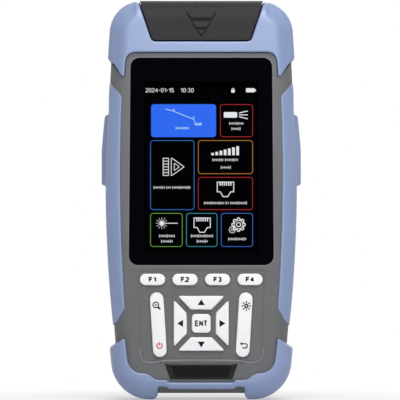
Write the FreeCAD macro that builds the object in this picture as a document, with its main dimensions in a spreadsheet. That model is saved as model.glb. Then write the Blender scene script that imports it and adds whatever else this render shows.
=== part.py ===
"""Handheld optical time domain reflectometer: a two-shell case in rubber bumpers, with a screen, a
keypad, a flip-up dust cover over the row of test ports and a folding stand.

Frame: millimetres, +Z up along the instrument, +X to the user's right, the screen faces -Y. The
origin is the middle of the footprint that the two rubber feet stand on. Depths are written as
distances towards the front, so "front 20" is the plane y = -20.
"""

import FreeCAD, Part

import math
import os

import Sketcher
from FreeCAD import Placement, Rotation, Vector

doc = FreeCAD.newDocument("pocket_reflectometer")

# --------------------------------------------------------------------------------------------------
# Driving dimensions: name, value, meaning
# --------------------------------------------------------------------------------------------------

SIZES = (
    # the case
    ("case_rise", 29, "height of the case's top face above the display's upper edge"),
    ("case_bottom", 2.7, "height of the case's underside above the table"),
    ("case_half", 40.2, "half of the case's width at its belly"),
    ("belly_height", 98, "height of the widest place"),
    ("side_round", 850, "radius of the barrel-shaped sides"),
    ("top_corner", 12.6, "radius of the case's upper corners"),
    ("bottom_corner", 14, "radius of the case's lower corners"),
    ("case_front", 20, "front face of the case, towards the front"),
    ("case_back", 20, "rear face of the case, towards the back"),
    ("edge_round", 7, "radius along the edges of the front and rear faces"),
    ("case_wall", 2.6, "wall of both shells"),
    ("front_wall", 3, "wall behind the front face"),
    ("parting", 2, "plane where the two shells meet, towards the front"),
    ("seal_width", 0.8, "width of the cord seal between the shells"),
    ("seal_height", 1.6, "height of the cord seal between the shells"),
    ("seal_inset", 0.5, "distance of the seal from the inner face of the wall"),
    ("seal_gap", 0.05, "gap round the seal"),
    ("side_reach", 5, "how far cutting outlines reach past the case"),
    # the rubber
    ("rubber_sink", 0.8, "depth of the recess that the rubber lies in"),
    ("rubber_gap", 0.05, "gap between the rubber and its recess"),
    ("bumper_proud", 1.5, "how far the top bumper stands out of the case"),
    ("foot_proud", 2.7, "how far the feet stand out below and beside the case"),
    ("foot_face_proud", 1.5, "how far the feet stand out in front and behind"),
    ("grip_proud", 1.1, "how far a grip stands out of the side at its belly"),
    ("grip_face", 0.7, "how far a grip stands out in front and behind"),
    ("grip_side_round", 560, "radius of the grip's outer curve"),
    ("grip_belly", 92, "height of the grip's widest place"),
    ("grip_width", 5.3, "width of a grip seen from the front"),
    ("grip_line", 30, "half distance between the lines that end a grip's slants"),
    ("grip_top_in", 125.4, "height of the upper slant at the grip line"),
    ("grip_top_rise", 18.2, "rise of the upper slant out to the side reach"),
    ("grip_low_in", 43.5, "height of the lower slant at the grip line"),
    ("grip_low_fall", 22.4, "fall of the lower slant out to the side reach"),
    ("hump_top", 122.8, "upper end of a finger hump"),
    ("hump_low", 92.2, "lower end of a finger hump"),
    ("hump_proud", 3, "how far a finger hump stands out of the case"),
    ("hump_top_proud", 1, "how far a hump stands out at its upper end"),
    ("hump_swell", 2.5, "how far a hump stands out in its middle"),
    ("hump_front", 1, "front end of a finger hump, towards the front"),
    ("hump_depth", 13, "depth of a finger hump, front to back"),
    ("hump_round", 1.2, "rounding of a finger hump"),
    ("band_rise", 8.1, "lower edge of the bumper's band above the display's upper edge"),
    ("band_round", 4, "radius where the band meets a horn"),
    ("horn_inner", 32.3, "half distance between the horns at the band"),
    ("horn_tip_inner", 33.1, "half distance between the horns at their tips"),
    ("horn_tip_width", 1.3, "width of a horn's tip"),
    ("horn_tip_drop", 2.2, "drop of the horns' tips below the display's upper edge"),
    ("horn_rise", 14.1, "rise of a horn's outer slant out to the side reach"),
    ("foot_tip_half", 32.9, "half distance between the feet's upper tips"),
    ("foot_tip_height", 26.7, "height of the feet's upper tips"),
    ("foot_slant_fall", 8.4, "fall of a foot's upper slant out to the side reach"),
    ("foot_inner_half", 31.1, "half distance between the feet above the bend"),
    ("foot_bend_height", 11.4, "height of a foot's inner edge beside the bend"),
    ("foot_bend_round", 6.5, "radius of the bend inside a foot"),
    ("foot_knee_round", 2.25, "radius of the knee at a foot's inner end"),
    ("foot_end_half", 18.7, "half distance between the feet's inner ends"),
    ("strip_high", 7.5, "upper edge of the strip between the feet"),
    ("strip_tall", 2.9, "height of the strip"),
    ("strip_step", 1, "step of the strip beside each foot"),
    ("strip_half", 14.2, "half of the strip's lower run"),
    # the dust cover and the port bay
    ("cover_low_half", 20.9, "half width of the dust cover at its lower edge"),
    ("cover_rise", 13.4, "lower edge of the dust cover above the display's upper edge"),
    ("cover_slant", 0.335, "sideways lean of the dust cover's sides per millimetre of height"),
    ("cover_round", 1.6, "radius of the dust cover's lower corners"),
    ("cover_gap", 0.35, "gap round the dust cover"),
    ("cover_lift", 0.1, "gap between the dust cover and the case"),
    ("hinge_back", 15.6, "hinge line of the dust cover, towards the back"),
    ("hinge_bead", 1.15, "radius of the dust cover's hinge bead"),
    ("hinge_half", 25.6, "half length of the hinge bead"),
    ("hinge_room", 3, "room behind the hinge line for the raised cover"),
    ("hinge_pin", 0.6, "radius of the cover's hinge pins"),
    ("hinge_pin_long", 2.4, "length of the cover's hinge pins"),
    ("hinge_pin_gap", 0.1, "gap round the cover's hinge pins"),
    ("bay_half", 23.9, "half width of the port bay"),
    ("bay_front", 11.2, "front wall of the port bay, towards the front"),
    ("bay_back", 11.8, "rear wall of the port bay, towards the back"),
    ("bay_round", 2, "corner radius of the port bay"),
    ("bay_depth", 8.9, "depth of the bay's floor below the case's top face"),
    ("tray_wall", 1.2, "wall of the port tray"),
    ("tray_floor", 1.6, "floor of the port tray"),
    ("tray_gap", 0.05, "gap between the tray and the case"),
    ("port_gap", 0.1, "gap round each port in the tray's floor"),
    ("plug_gap", 0.45, "gap between the cover's plug and the bay"),
    ("plug_deep", 1.9, "how far the cover's plug reaches into the bay"),
    ("plug_wall", 1.6, "wall of the cover's plug"),
    ("port_row", 4.5, "row of round ports, towards the front"),
    ("otdr_across", 17.2, "place of the test port, to the left"),
    ("vfl_across", 6.2, "place of the visible light port, to the left"),
    ("opm_across", 2.2, "place of the power meter port, to the right"),
    ("flange_side", 12, "side of the test port's square flange"),
    ("flange_thick", 1.5, "thickness of the test port's flange"),
    ("flange_round", 1, "corner radius of the square flange"),
    ("flange_screw", 4.6, "place of the flange's screws from the port's middle"),
    ("small_screw", 0.5, "radius of a flange screw's shank"),
    ("small_head", 0.9, "radius of a flange screw's head"),
    ("small_head_tall", 0.6, "height of a flange screw's head"),
    ("screw_tip_gap", 0.3, "gap under the tip of each small screw"),
    ("barrel_round", 4, "radius of the test port's threaded barrel"),
    ("barrel_bore", 3, "radius inside the test port's barrel"),
    ("barrel_tall", 4.6, "height of the barrel above its flange"),
    ("ferrule_round", 1.25, "radius of a 2.5 mm fibre ferrule"),
    ("sleeve_wall", 0.4, "wall of the ceramic sleeve"),
    ("sleeve_long", 8, "length of the ceramic sleeve"),
    ("sleeve_sink", 0.6, "how far the sleeve lies below the barrel's rim"),
    ("stem_deep", 3.4, "depth of the test port below the tray"),
    ("fibre_way", 0.6, "radius of the way for the fibre"),
    ("fibre_round", 0.45, "radius of the fibre's jacket"),
    ("boot_round", 1.2, "radius of a fibre boot"),
    ("boot_long", 5, "length of a fibre boot"),
    ("sleeve_stem", 2.1, "radius of the stem that holds the sleeve"),
    ("key_slot", 2.1, "width and depth of the barrel's key slot"),
    ("key_slot_gap", 0.3, "gap between the key slot and the sleeve's stem"),
    ("ring_round", 3.9, "radius of the two small ports"),
    ("ring_nut", 4.1, "radius of the small ports' collars"),
    ("ring_tall", 5, "height of the small ports above the floor"),
    ("ring_deep", 5, "depth of the small ports below the floor"),
    ("ring_chamfer", 0.5, "chamfer at the small ports' rims"),
    ("laser_round", 2.8, "radius of the visible laser"),
    ("laser_long", 7, "length of the visible laser"),
    ("detector_round", 2.7, "radius of the light detector"),
    ("detector_long", 3, "length of the light detector"),
    ("jack_across", 15.3, "place of the network jack, to the right"),
    ("jack_wide", 16, "width of the network jack"),
    ("jack_deep", 13.4, "depth of the network jack, front to back"),
    ("jack_long", 15.4, "length of the network jack"),
    ("jack_proud", 0.6, "how far the jack stands above the floor"),
    ("sleeve_sheet", 0.3, "thickness of the jack's metal sleeve"),
    ("socket_shift", 1, "shift of the socket towards the contacts"),
    ("socket_wide", 11.9, "width of the jack's socket"),
    ("socket_tall", 6.9, "height of the jack's socket"),
    ("socket_deep", 13, "depth of the jack's socket"),
    ("latch_wide", 6.4, "width of the latch channel"),
    ("latch_tall", 1.9, "height of the latch channel"),
    ("contact_pitch", 1.02, "pitch of the jack's contacts"),
    ("contact_wide", 0.5, "width of a jack contact"),
    ("contact_proud", 0.6, "how far a contact stands into the socket"),
    ("contact_sink", 2, "how far the contacts start below the jack's face"),
    ("charge_across", 17.2, "place of the charge socket, to the left"),
    ("charge_back", 7.4, "place of the charge socket, towards the back"),
    ("charge_wide", 8.94, "width of the charge socket"),
    ("charge_tall", 3.26, "height of the charge socket"),
    ("charge_long", 7.4, "length of the charge socket"),
    ("charge_wall", 0.3, "wall of the charge socket"),
    ("charge_floor", 0.8, "thickness of the charge socket's floor"),
    ("charge_flat", 0.05, "half of the flat at each end of the charge socket"),
    ("tongue_wide", 6.7, "width of the socket's tongue"),
    ("tongue_thick", 0.7, "thickness of the socket's tongue"),
    ("tongue_sink", 0.9, "how far the tongue lies below the rim"),
    ("port_board_drop", 2, "distance of the port board below the tray"),
    ("port_board_rim", 1.8, "rim of the port board round its parts"),
    ("port_board_half", 4.6, "half depth of the port board"),
    ("post_left", 8.7, "place of the tray's left post"),
    ("post_right", 4.4, "place of the tray's right post"),
    ("post_back", 7.4, "place of the tray's posts, towards the back"),
    ("post_bite", 3, "length of a screw in a post"),
    ("torch_across", 1.6, "place of the torch, to the left"),
    ("torch_back", 6.6, "place of the torch, towards the back"),
    ("torch_round", 2.7, "radius of the torch's lens"),
    ("torch_flange", 0.5, "flange of the torch's lens"),
    ("torch_dome", 1.6, "height of the torch's dome"),
    ("torch_edge", 1.5, "rounding of the torch's dome"),
    ("led_side", 2.8, "side of the torch's light"),
    ("led_gap", 0.1, "gap between the torch's light and its lens"),
    # the screen
    ("glass_rise", 5.7, "upper edge of the window above the display's upper edge"),
    ("glass_low", 58, "lower edge of the window"),
    ("glass_top_half", 30.4, "half width of the window at the top"),
    ("glass_low_half", 31.2, "half width of the window at the bottom"),
    ("glass_corner", 3.9, "corner radius of the window"),
    ("glass_thick", 1.2, "thickness of the window"),
    ("glass_sink", 0.3, "how far the window lies below the rim"),
    ("glass_gap", 0.15, "gap round the window"),
    ("glass_bevel", 0.4, "bevel round the window's face"),
    ("tape_inset", 0.3, "how far the tape stays inside the window's edge"),
    ("tape_thick", 0.2, "thickness of the tape under the window"),
    ("screen_wide", 48.96, "width of the lit area, of a 3.5 inch panel"),
    ("screen_tall", 73.44, "height of the lit area"),
    ("opening_margin", 0.8, "margin of the case's opening round the lit area"),
    ("panel_low", 58.5, "height of the display panel's lower edge"),
    ("panel_ledge", 4.88, "display panel below the lit area"),
    ("panel_margin", 4.68, "display panel above the lit area"),
    ("panel_side", 2.77, "display panel beside the lit area"),
    ("panel_thick", 1.1, "thickness of the display's glass"),
    ("panel_gap", 0.05, "gap between the display and the front wall"),
    ("light_thick", 2.4, "thickness of the display's back light"),
    ("light_wall", 0.8, "rim of the back light's frame"),
    ("light_dish", 0.3, "depth of the dish in the back light's frame"),
    ("ribbon_wide", 20, "width of the display's ribbon"),
    ("ribbon_thick", 0.3, "thickness of the display's ribbon"),
    ("ribbon_sink", 0.28, "how far the ribbon starts behind the display's face"),
    ("ribbon_drop", 0.3, "gap between the display's lower edge and the ribbon's run"),
    ("ribbon_lift", 0.05, "gap between the ribbon and what it lies on"),
    ("ribbon_rise", 8, "height of the ribbon's end up the main board"),
    # the keypad
    ("deck_sink", 0.4, "how far the key deck lies below the rim"),
    ("deck_top", 56, "upper edge of the key deck"),
    ("deck_top_half", 27.5, "half width of the key deck at the top"),
    ("deck_low_half", 26.3, "half width of the key deck near the bottom"),
    ("deck_low", 20.2, "height where the deck's sides end"),
    ("deck_cut_half", 23.6, "half width of the deck's lower edge"),
    ("deck_foot", 15.7, "lower edge of the key deck"),
    ("deck_notch_half", 17.2, "half width of the deck's lower edge beside the name plate"),
    ("deck_notch", 2.1, "height of the notch above the name plate"),
    ("plate_top", 15.5, "upper edge of the name plate"),
    ("plate_low", 8.9, "lower edge of the name plate"),
    ("plate_top_half", 15.7, "half width of the name plate at the top"),
    ("plate_low_half", 13.3, "half width of the name plate at the bottom"),
    ("plate_round", 0.5, "corner radius of the name plate"),
    ("plate_thick", 0.95, "thickness of the name plate"),
    ("plate_bevel", 0.3, "bevel round the name plate's face"),
    ("plate_sink", 0.8, "depth of the name plate's recess"),
    ("plate_gap", 0.1, "gap round the name plate"),
    ("row_height", 51.8, "height of the row of soft keys"),
    ("row_pitch", 14, "pitch of the soft keys"),
    ("soft_wide", 11, "width of a soft key"),
    ("soft_tall", 5.1, "height of a soft key"),
    ("pad_height", 32.9, "height of the enter key"),
    ("arrow_outer", 11.75, "outer edge of an arrow key from the enter key's middle"),
    ("arrow_inner", 6.05, "inner edge of an arrow key from the enter key's middle"),
    ("arrow_slant", 1.85, "sideways shift of an arrow key's slants off the diagonal"),
    ("arrow_round", 0.8, "corner radius of an arrow key"),
    ("enter_side", 8.2, "side of the enter key"),
    ("enter_round", 1.7, "corner radius of the enter key"),
    ("rocker_long", 28, "length of a rocker key"),
    ("rocker_wide", 6, "width of a rocker key"),
    ("rocker_across", 18.5, "place of a rocker key, to the side"),
    ("rocker_height", 32.3, "height of a rocker key's middle"),
    ("rocker_lean", 3.5, "lean of a rocker key, in degrees"),
    ("rocker_post", 10, "place of a rocker's posts from its middle"),
    ("rocker_float", 0.65, "gap in front of a rocker's flange"),
    ("rocker_throw", 0.45, "gap between a rocker's posts and their switches"),
    ("ridge_wide", 1.6, "width of the ridge under a rocker"),
    ("ridge_gap", 0.08, "gap between the ridge and its rocker"),
    ("key_proud", 1.4, "how far the keys stand out of the deck"),
    ("key_gap", 0.3, "gap round each key"),
    ("key_top_round", 0.45, "rounding of a key's top edge"),
    ("key_flange", 0.7, "width of a key's flange"),
    ("key_flange_thick", 1, "thickness of a key's flange"),
    ("key_seat", 0.05, "gap between a key's flange and the deck"),
    ("key_travel", 0.8, "travel of a key"),
    ("key_spare", 0.05, "travel left when a key is down"),
    ("post_round", 1.4, "radius of the post under a key"),
    ("post_long", 1, "length of the post under a key"),
    ("switch_side", 3.6, "side of a key switch"),
    ("switch_thick", 1, "thickness of a key switch's body"),
    ("switch_button", 0.9, "radius of a key switch's button"),
    ("switch_tall", 1.6, "height of a key switch with its button"),
    ("switch_room", 0.5, "gap round a key switch in the mat"),
    ("board_thick", 1.6, "thickness of the circuit boards"),
    ("mat_thick", 1, "thickness of the key mat and of its rim"),
    ("mat_gap", 0.05, "gap between the key mat's rim and the front wall"),
    ("key_board_top", 57.2, "upper edge of the key board"),
    ("key_board_half", 29.4, "half width of the key board"),
    ("key_board_knee", 28, "height where the key board narrows"),
    ("key_board_low", 16.2, "lower edge of the key board"),
    ("key_board_low_half", 22, "half width of the key board's lower edge"),
    # inside
    ("main_front", 10.4, "front face of the main board, towards the front"),
    ("main_half", 27.6, "half width of the main board"),
    ("main_neck_half", 24.8, "half width of the main board's upper part"),
    ("neck_drop", 5.5, "where the main board narrows, below the display's upper edge"),
    ("main_low", 24, "lower edge of the main board"),
    ("main_rise", 17.1, "upper edge of the main board above the display's upper edge"),
    ("link_wide", 14, "width of the connector between the boards"),
    ("link_tall", 3.6, "height of the connector between the boards"),
    ("link_height", 40, "place of the connector between the boards"),
    ("cell_round", 9.2, "radius of a battery cell"),
    ("cell_long", 65, "length of a battery cell"),
    ("cell_low", 24.5, "lower end of the battery cells"),
    ("cell_gap", 0.6, "gap between the battery cells"),
    ("cell_tip", 3, "radius of a cell's terminal"),
    ("cell_tip_long", 1.2, "length of a cell's terminal"),
    ("holder_wall", 1.4, "wall of the battery holder"),
    ("holder_lip", 6.5, "height of the holder's side walls"),
    ("holder_gap", 0.1, "gap between the holder and the stand's well"),
    ("contact_thick", 0.4, "thickness of a battery contact"),
    ("contact_half", 3.6, "half width of a battery contact"),
    ("module_wide", 44, "width of the laser module"),
    ("module_tall", 36, "height of the laser module"),
    ("module_thick", 10, "thickness of the laser module"),
    ("module_low", 99, "lower edge of the laser module"),
    ("module_round", 1.5, "corner radius of the laser module"),
    ("module_step", 2, "step at the laser module's lower edge"),
    ("module_lip", 5, "width of the laser module's step"),
    ("reel_round", 19, "radius of the fibre reel"),
    ("reel_hub", 13, "radius of the fibre reel's hub"),
    ("reel_thick", 4.6, "thickness of the fibre reel"),
    ("reel_flange", 0.8, "thickness of the reel's flanges"),
    ("reel_bore", 3, "radius of the reel's bore"),
    ("coil_round", 17.5, "radius of the fibre wound on the reel"),
    ("coil_gap", 0.1, "gap round the wound fibre"),
    ("shield_thick", 1.8, "thickness of the shields over the processor"),
    ("shield_wide", 17, "width of a shield"),
    ("shield_tall", 16, "height of a shield"),
    ("shield_space", 2, "half space between the shields"),
    ("shield_low", 36, "height of the lower shield"),
    ("buzzer_across", 11, "place of the buzzer, to the right"),
    ("buzzer_drop", 1.6, "drop of the buzzer's middle below the display's upper edge"),
    ("buzzer_round", 4.3, "radius of the buzzer"),
    ("buzzer_thick", 3, "thickness of the buzzer"),
    # the stand
    ("stand_half", 23.5, "half width of the stand"),
    ("stand_pivot", 117, "height of the stand's pivot"),
    ("stand_long", 76, "length of the stand below its pivot"),
    ("stand_thick", 3, "thickness of the stand"),
    ("stand_gap", 0.4, "gap round the stand"),
    ("stand_round", 4, "corner radius of the stand's foot"),
    ("stand_barrel", 1.7, "radius of the stand's barrel"),
    ("stand_sink", 0.2, "how far the stand lies below the rear face"),
    ("pin_round", 0.8, "radius of the stand's pin"),
    ("pin_gap", 0.05, "gap round the stand's pin"),
    ("pin_grip", 2.4, "length of the pin held in the case at each end"),
    ("well_wall", 2, "wall of the stand's well"),
    ("well_side", 3, "wall beside and below the stand's well"),
    ("stand_notch", 7, "radius of the finger notch in the stand's foot"),
    # fasteners
    ("screw_side_half", 31.3, "half distance between the side screws"),
    ("screw_side_height", 84, "height of the side screws"),
    ("screw_top_half", 29, "half distance between the upper screws"),
    ("screw_rise", 4.1, "height of the upper screws above the display's upper edge"),
    ("screw_low_half", 27.6, "half distance between the lower screws"),
    ("screw_low_height", 18, "height of the lower screws"),
    ("screw_head", 2.2, "radius of a case screw's head"),
    ("screw_head_tall", 1.6, "height of a case screw's head"),
    ("screw_shank", 1.2, "radius of a case screw's shank"),
    ("screw_bite", 9, "length of a case screw in the front shell"),
    ("screw_seat", 1, "how far a screw head lies below the rear face"),
    ("boss_round", 2.9, "radius of a screw boss"),
    ("screw_gap", 0.2, "gap round a case screw in the rear shell"),
    ("pilot_spare", 0.5, "depth of a boss's hole past its screw"),
    ("board_screw_top_half", 21.5, "half distance between the upper board screws"),
    ("board_screw_rise", 2.5, "height of the upper board screws above the display's upper edge"),
    ("board_screw_low_half", 24.9, "half distance between the lower board screws"),
    ("board_screw_low", 35, "height of the lower board screws"),
    ("board_screw_head", 1.9, "radius of a board screw's head"),
    ("board_screw_head_tall", 1.2, "height of a board screw's head"),
    ("board_screw_shank", 0.8, "radius of a board screw's shank"),
    ("board_screw_bite", 5, "length of a board screw in its boss"),
    ("board_boss_round", 2.2, "radius of a board boss"),
    ("boss_nose_round", 1.6, "radius of a lower board boss's nose"),
    ("board_hole_gap", 0.2, "gap round screws and noses in the boards"),
)


class Size:
    """A number that keeps the sheet formula it came from.

    Its value gives a sketch its first guess, and its formula binds the property to the sheet.
    """

    def __init__(self, value, formula):
        self.value = float(value)
        self.formula = formula

    def __add__(self, other):
        other = as_size(other)
        return Size(self.value + other.value, f"({self.formula} + {other.formula})")

    def __sub__(self, other):
        other = as_size(other)
        return Size(self.value - other.value, f"({self.formula} - {other.formula})")

    def __mul__(self, other):
        other = as_size(other)
        return Size(self.value * other.value, f"({self.formula} * {other.formula})")

    def __truediv__(self, other):
        other = as_size(other)
        return Size(self.value / other.value, f"({self.formula} / {other.formula})")

    def __neg__(self):
        return Size(-self.value, f"(0 - {self.formula})")

    __radd__ = __add__
    __rmul__ = __mul__

    def __rsub__(self, other):
        return as_size(other) - self

    def root(self):
        return Size(math.sqrt(self.value), f"sqrt({self.formula})")


def as_size(number):
    return number if isinstance(number, Size) else Size(number, repr(float(number)))


class Dimensions:
    """Every driving dimension as an attribute, read back from the sheet's cells."""

    def __init__(self, rows):
        sheet = doc.addObject("Spreadsheet::Sheet", "dims")
        for line, (name, value, meaning) in enumerate(rows, start=1):
            sheet.set(f"A{line}", meaning)
            sheet.set(f"B{line}", str(value))
            sheet.setAlias(f"B{line}", name)
        doc.recompute()
        for name, _, _ in rows:
            setattr(self, name, Size(getattr(sheet, name), f"dims.{name}"))


d = Dimensions(SIZES)

# --------------------------------------------------------------------------------------------------
# Tools for drawing and joining
# --------------------------------------------------------------------------------------------------

PLANES = {"front": "XZ_Plane", "flat": "XY_Plane", "side": "YZ_Plane"}
ORIGIN_POINT = (-1, 1)
START, END, CENTRE = range(1, 4)
SPECK = 1e-6
NEAR = 0.01
SOFT_KEYS = 4
CONTACTS = 8
ZERO = as_size(0)


def bind(thing, prop, size):
    thing.setExpression(prop, as_size(size).formula)


def place(thing, x=ZERO, front=ZERO, z=ZERO):
    """Binds where a thing stands: to the right, towards the front and up."""
    bind(thing, "Placement.Base.x", x)
    bind(thing, "Placement.Base.y", -as_size(front))
    bind(thing, "Placement.Base.z", z)


def new_body(name):
    return doc.addObject("PartDesign::Body", name)


def new_sketch(body, plane, level):
    """A sketch parallel to an origin plane: `level` is in front of it, above it or to its right."""
    drawing = body.newObject("Sketcher::SketchObject", "sketch")
    plane_of_body = [f for f in body.Origin.OriginFeatures if f.Role == PLANES[plane]][0]
    drawing.AttachmentSupport = [(plane_of_body, "")]
    drawing.MapMode = "FlatFace"
    bind(drawing, "AttachmentOffset.Base.z", level)
    return drawing


def constrain(drawing, kind, *references):
    drawing.addConstraint(Sketcher.Constraint(kind, *references))


def dimension(drawing, kind, *references_and_size):
    """A measured constraint whose last value is a Size bound to the sheet."""
    *references, size = references_and_size
    size = as_size(size)
    number = drawing.addConstraint(Sketcher.Constraint(kind, *references, size.value))
    drawing.setExpression(f"Constraints[{number}]", size.formula)


def fix_point(drawing, geometry, point, x, y):
    """Holds a point at its two distances from the sketch's origin."""
    for kind, size in (("DistanceX", x), ("DistanceY", y)):
        dimension(drawing, kind, *ORIGIN_POINT, geometry, point, size)


def draw_polygon(drawing, points):
    """Straight sides through the points, each corner held by its distances from the origin."""
    points = [(as_size(x), as_size(y)) for x, y in points]
    corners = [Vector(x.value, y.value, 0) for x, y in points]
    sides = drawing.addGeometry(
        [Part.LineSegment(a, b) for a, b in zip(corners, corners[1:] + corners[:1])], False)
    for number, side in enumerate(sides):
        constrain(drawing, "Coincident", sides[number - 1], END, side, START)
        fix_point(drawing, side, START, *points[number])


def draw_circle(drawing, x, y, radius):
    circle = Part.Circle(Vector(as_size(x).value, as_size(y).value, 0), Vector(0, 0, 1), radius.value)
    number = drawing.addGeometry(circle, False)
    dimension(drawing, "Radius", number, radius)
    fix_point(drawing, number, CENTRE, x, y)


def draw_rectangle(drawing, x0, x1, y0, y1):
    draw_polygon(drawing, ((x0, y0), (x1, y0), (x1, y1), (x0, y1)))


def draw_slot(drawing, half_long, half_wide, upright):
    """A slot with round ends about the sketch's origin."""
    reach = half_long - half_wide
    towards = Vector(0, 1, 0) if upright else Vector(1, 0, 0)
    across = Vector(-towards.y, towards.x, 0) * half_wide.value
    turn = math.atan2(towards.y, towards.x)
    ends = [towards * reach.value, towards * -reach.value]
    caps = [Part.ArcOfCircle(Part.Circle(end, Vector(0, 0, 1), half_wide.value), start, start + math.pi)
            for end, start in zip(ends, (turn - math.pi / 2, turn + math.pi / 2))]
    geometry = drawing.addGeometry([
        caps[0], Part.LineSegment(ends[0] + across, ends[1] + across),
        caps[1], Part.LineSegment(ends[1] - across, ends[0] - across)], False)
    for one, next_one in zip(geometry, geometry[1:] + geometry[:1]):
        constrain(drawing, "Tangent", one, END, next_one, START)
    constrain(drawing, "Equal", geometry[0], geometry[2])
    dimension(drawing, "Radius", geometry[0], half_wide)
    for cap, sign in ((geometry[0], 1), (geometry[2], -1)):
        along, aside = ("DistanceY", "DistanceX") if upright else ("DistanceX", "DistanceY")
        dimension(drawing, along, *ORIGIN_POINT, cap, CENTRE, reach * sign)
        dimension(drawing, aside, *ORIGIN_POINT, cap, CENTRE, ZERO)


def mirrored(points):
    """A right-hand half outline and its mirror image, as one closed run."""
    return list(points) + [(-as_size(x), z) for x, z in reversed(points)]


def add_pad(body, drawing, length):
    pad = body.newObject("PartDesign::Pad", "pad")
    pad.Profile = drawing
    bind(pad, "Length", length)
    return pad


def add_pocket(body, drawing, depth):
    """Cuts from the sketch away from its normal: backwards, or downwards."""
    pocket = body.newObject("PartDesign::Pocket", "pocket")
    pocket.Profile = drawing
    bind(pocket, "Length", depth)
    return pocket


def soften(body, size, wanted, kind="Fillet"):
    """Rounds or chamfers the edges of a body's last feature that `wanted` picks."""
    body.recompute(True)
    last = body.Tip
    edges = [f"Edge{number}" for number, edge in enumerate(last.Shape.Edges, 1) if wanted(edge)]
    made = body.newObject(f"PartDesign::{kind}", kind.lower())
    made.Base = (last, edges)
    bind(made, "Radius" if kind == "Fillet" else "Size", size)
    return made


def runs_along(axis):
    """Picks the straight edges along X, Y or Z."""
    def wanted(edge):
        box = edge.BoundBox
        spans = {"X": box.XLength, "Y": box.YLength, "Z": box.ZLength}
        return spans.pop(axis) > SPECK and max(spans.values()) < SPECK
    return wanted


def stands_near(axis, *places):
    """Picks the edges along an axis whose middle is near one of the places (right, front, up)."""
    along = runs_along(axis)
    spots = [(as_size(x).value, -as_size(front).value, as_size(z).value) for x, front, z in places]

    def near(edge, spot):
        middle = edge.BoundBox.Center
        offsets = {"X": middle.x - spot[0], "Y": middle.y - spot[1], "Z": middle.z - spot[2]}
        offsets.pop(axis)
        return all(abs(offset) < NEAR for offset in offsets.values())
    return lambda edge: along(edge) and any(near(edge, spot) for spot in spots)


def lies_at_front(level):
    """Picks the edges that lie wholly at a distance towards the front."""
    def wanted(edge):
        box = edge.BoundBox
        return abs(box.YMin + level.value) < SPECK and abs(box.YMax + level.value) < SPECK
    return wanted


def lies_at_height(level):
    """Picks the edges that lie wholly at a height."""
    def wanted(edge):
        box = edge.BoundBox
        return abs(box.ZMin - level.value) < SPECK and abs(box.ZMax - level.value) < SPECK
    return wanted


def stands_outside(half):
    """Picks the edges that lie wholly further to the side than `half`."""
    def wanted(edge):
        box = edge.BoundBox
        return min(abs(box.XMin), abs(box.XMax)) > half.value
    return wanted


def prism(name, points, back, front):
    """An outline seen from the front, filled from `back` to `front`."""
    body = new_body(name)
    drawing = new_sketch(body, "front", back)
    draw_polygon(drawing, points)
    add_pad(body, drawing, as_size(front) - back)
    return body


def column(name, across, depth, height, rounding=None):
    """An upright rectangular column; the spans are (low, high) in x, in y and in z."""
    body = new_body(name)
    drawing = new_sketch(body, "flat", height[0])
    draw_rectangle(drawing, *across, *depth)
    add_pad(body, drawing, as_size(height[1]) - height[0])
    if rounding:
        soften(body, rounding, runs_along("Z"))
    return body


def box(name, across, depth, height):
    """A plain block; the spans are (low, high) in x, in y and in z."""
    block = doc.addObject("Part::Box", name)
    for prop, (low, high) in (("Length", across), ("Width", depth), ("Height", height)):
        bind(block, prop, as_size(high) - low)
    place(block, across[0], -as_size(depth[0]), height[0])
    return block


TURNS = {"X": Rotation(Vector(0, 1, 0), 90), "Y": Rotation(Vector(1, 0, 0), -90), "Z": Rotation()}


def rod(name, axis, start, radius, length):
    """A cylinder along +X, +Y or +Z from its start (x, y, z)."""
    cylinder = doc.addObject("Part::Cylinder", name)
    cylinder.Placement = Placement(Vector(), TURNS[axis])
    bind(cylinder, "Radius", radius)
    bind(cylinder, "Height", length)
    place(cylinder, start[0], -as_size(start[1]), start[2])
    return cylinder


def turned(name, profile, axis_x, axis_y):
    """A body of revolution about an upright axis, from an outline of (radius, height) points."""
    body = new_body(name)
    drawing = new_sketch(body, "front", ZERO)
    draw_polygon(drawing, profile)
    revolution = body.newObject("PartDesign::Revolution", "revolution")
    revolution.Profile = drawing
    revolution.ReferenceAxis = (drawing, ["V_Axis"])
    revolution.Angle = 360
    place(body, axis_x, -as_size(axis_y))
    return body


def cut(name, base, *tools):
    for number, tool in enumerate(tools, 1):
        made = doc.addObject("Part::Cut", name if number == len(tools) else f"{name}_cut{number}")
        made.Base, made.Tool = base, tool
        base = made
    return base


def common(name, one, other):
    made = doc.addObject("Part::Common", name)
    made.Base, made.Tool = one, other
    return made


def fuse(name, *parts):
    made = doc.addObject("Part::MultiFuse", name)
    made.Shapes = list(parts)
    return made


def group(name, parts):
    made = doc.addObject("Part::Compound", name)
    made.Links = list(parts)
    return made


# --------------------------------------------------------------------------------------------------
# Surfaces that the shells and the rubber share
# --------------------------------------------------------------------------------------------------

# the display's place sets the heights of all that lies above it
screen_low = d.panel_low + d.panel_ledge
screen_high = screen_low + d.screen_tall
panel_high = screen_high + d.panel_margin
case_top = panel_high + d.case_rise

CASE = dict(half=d.case_half, belly=d.belly_height, bow=d.side_round, top=case_top,
            bottom=d.case_bottom, top_corner=d.top_corner, bottom_corner=d.bottom_corner)
GRIP = dict(CASE, half=d.case_half + d.grip_proud, belly=d.grip_belly, bow=d.grip_side_round)


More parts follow.
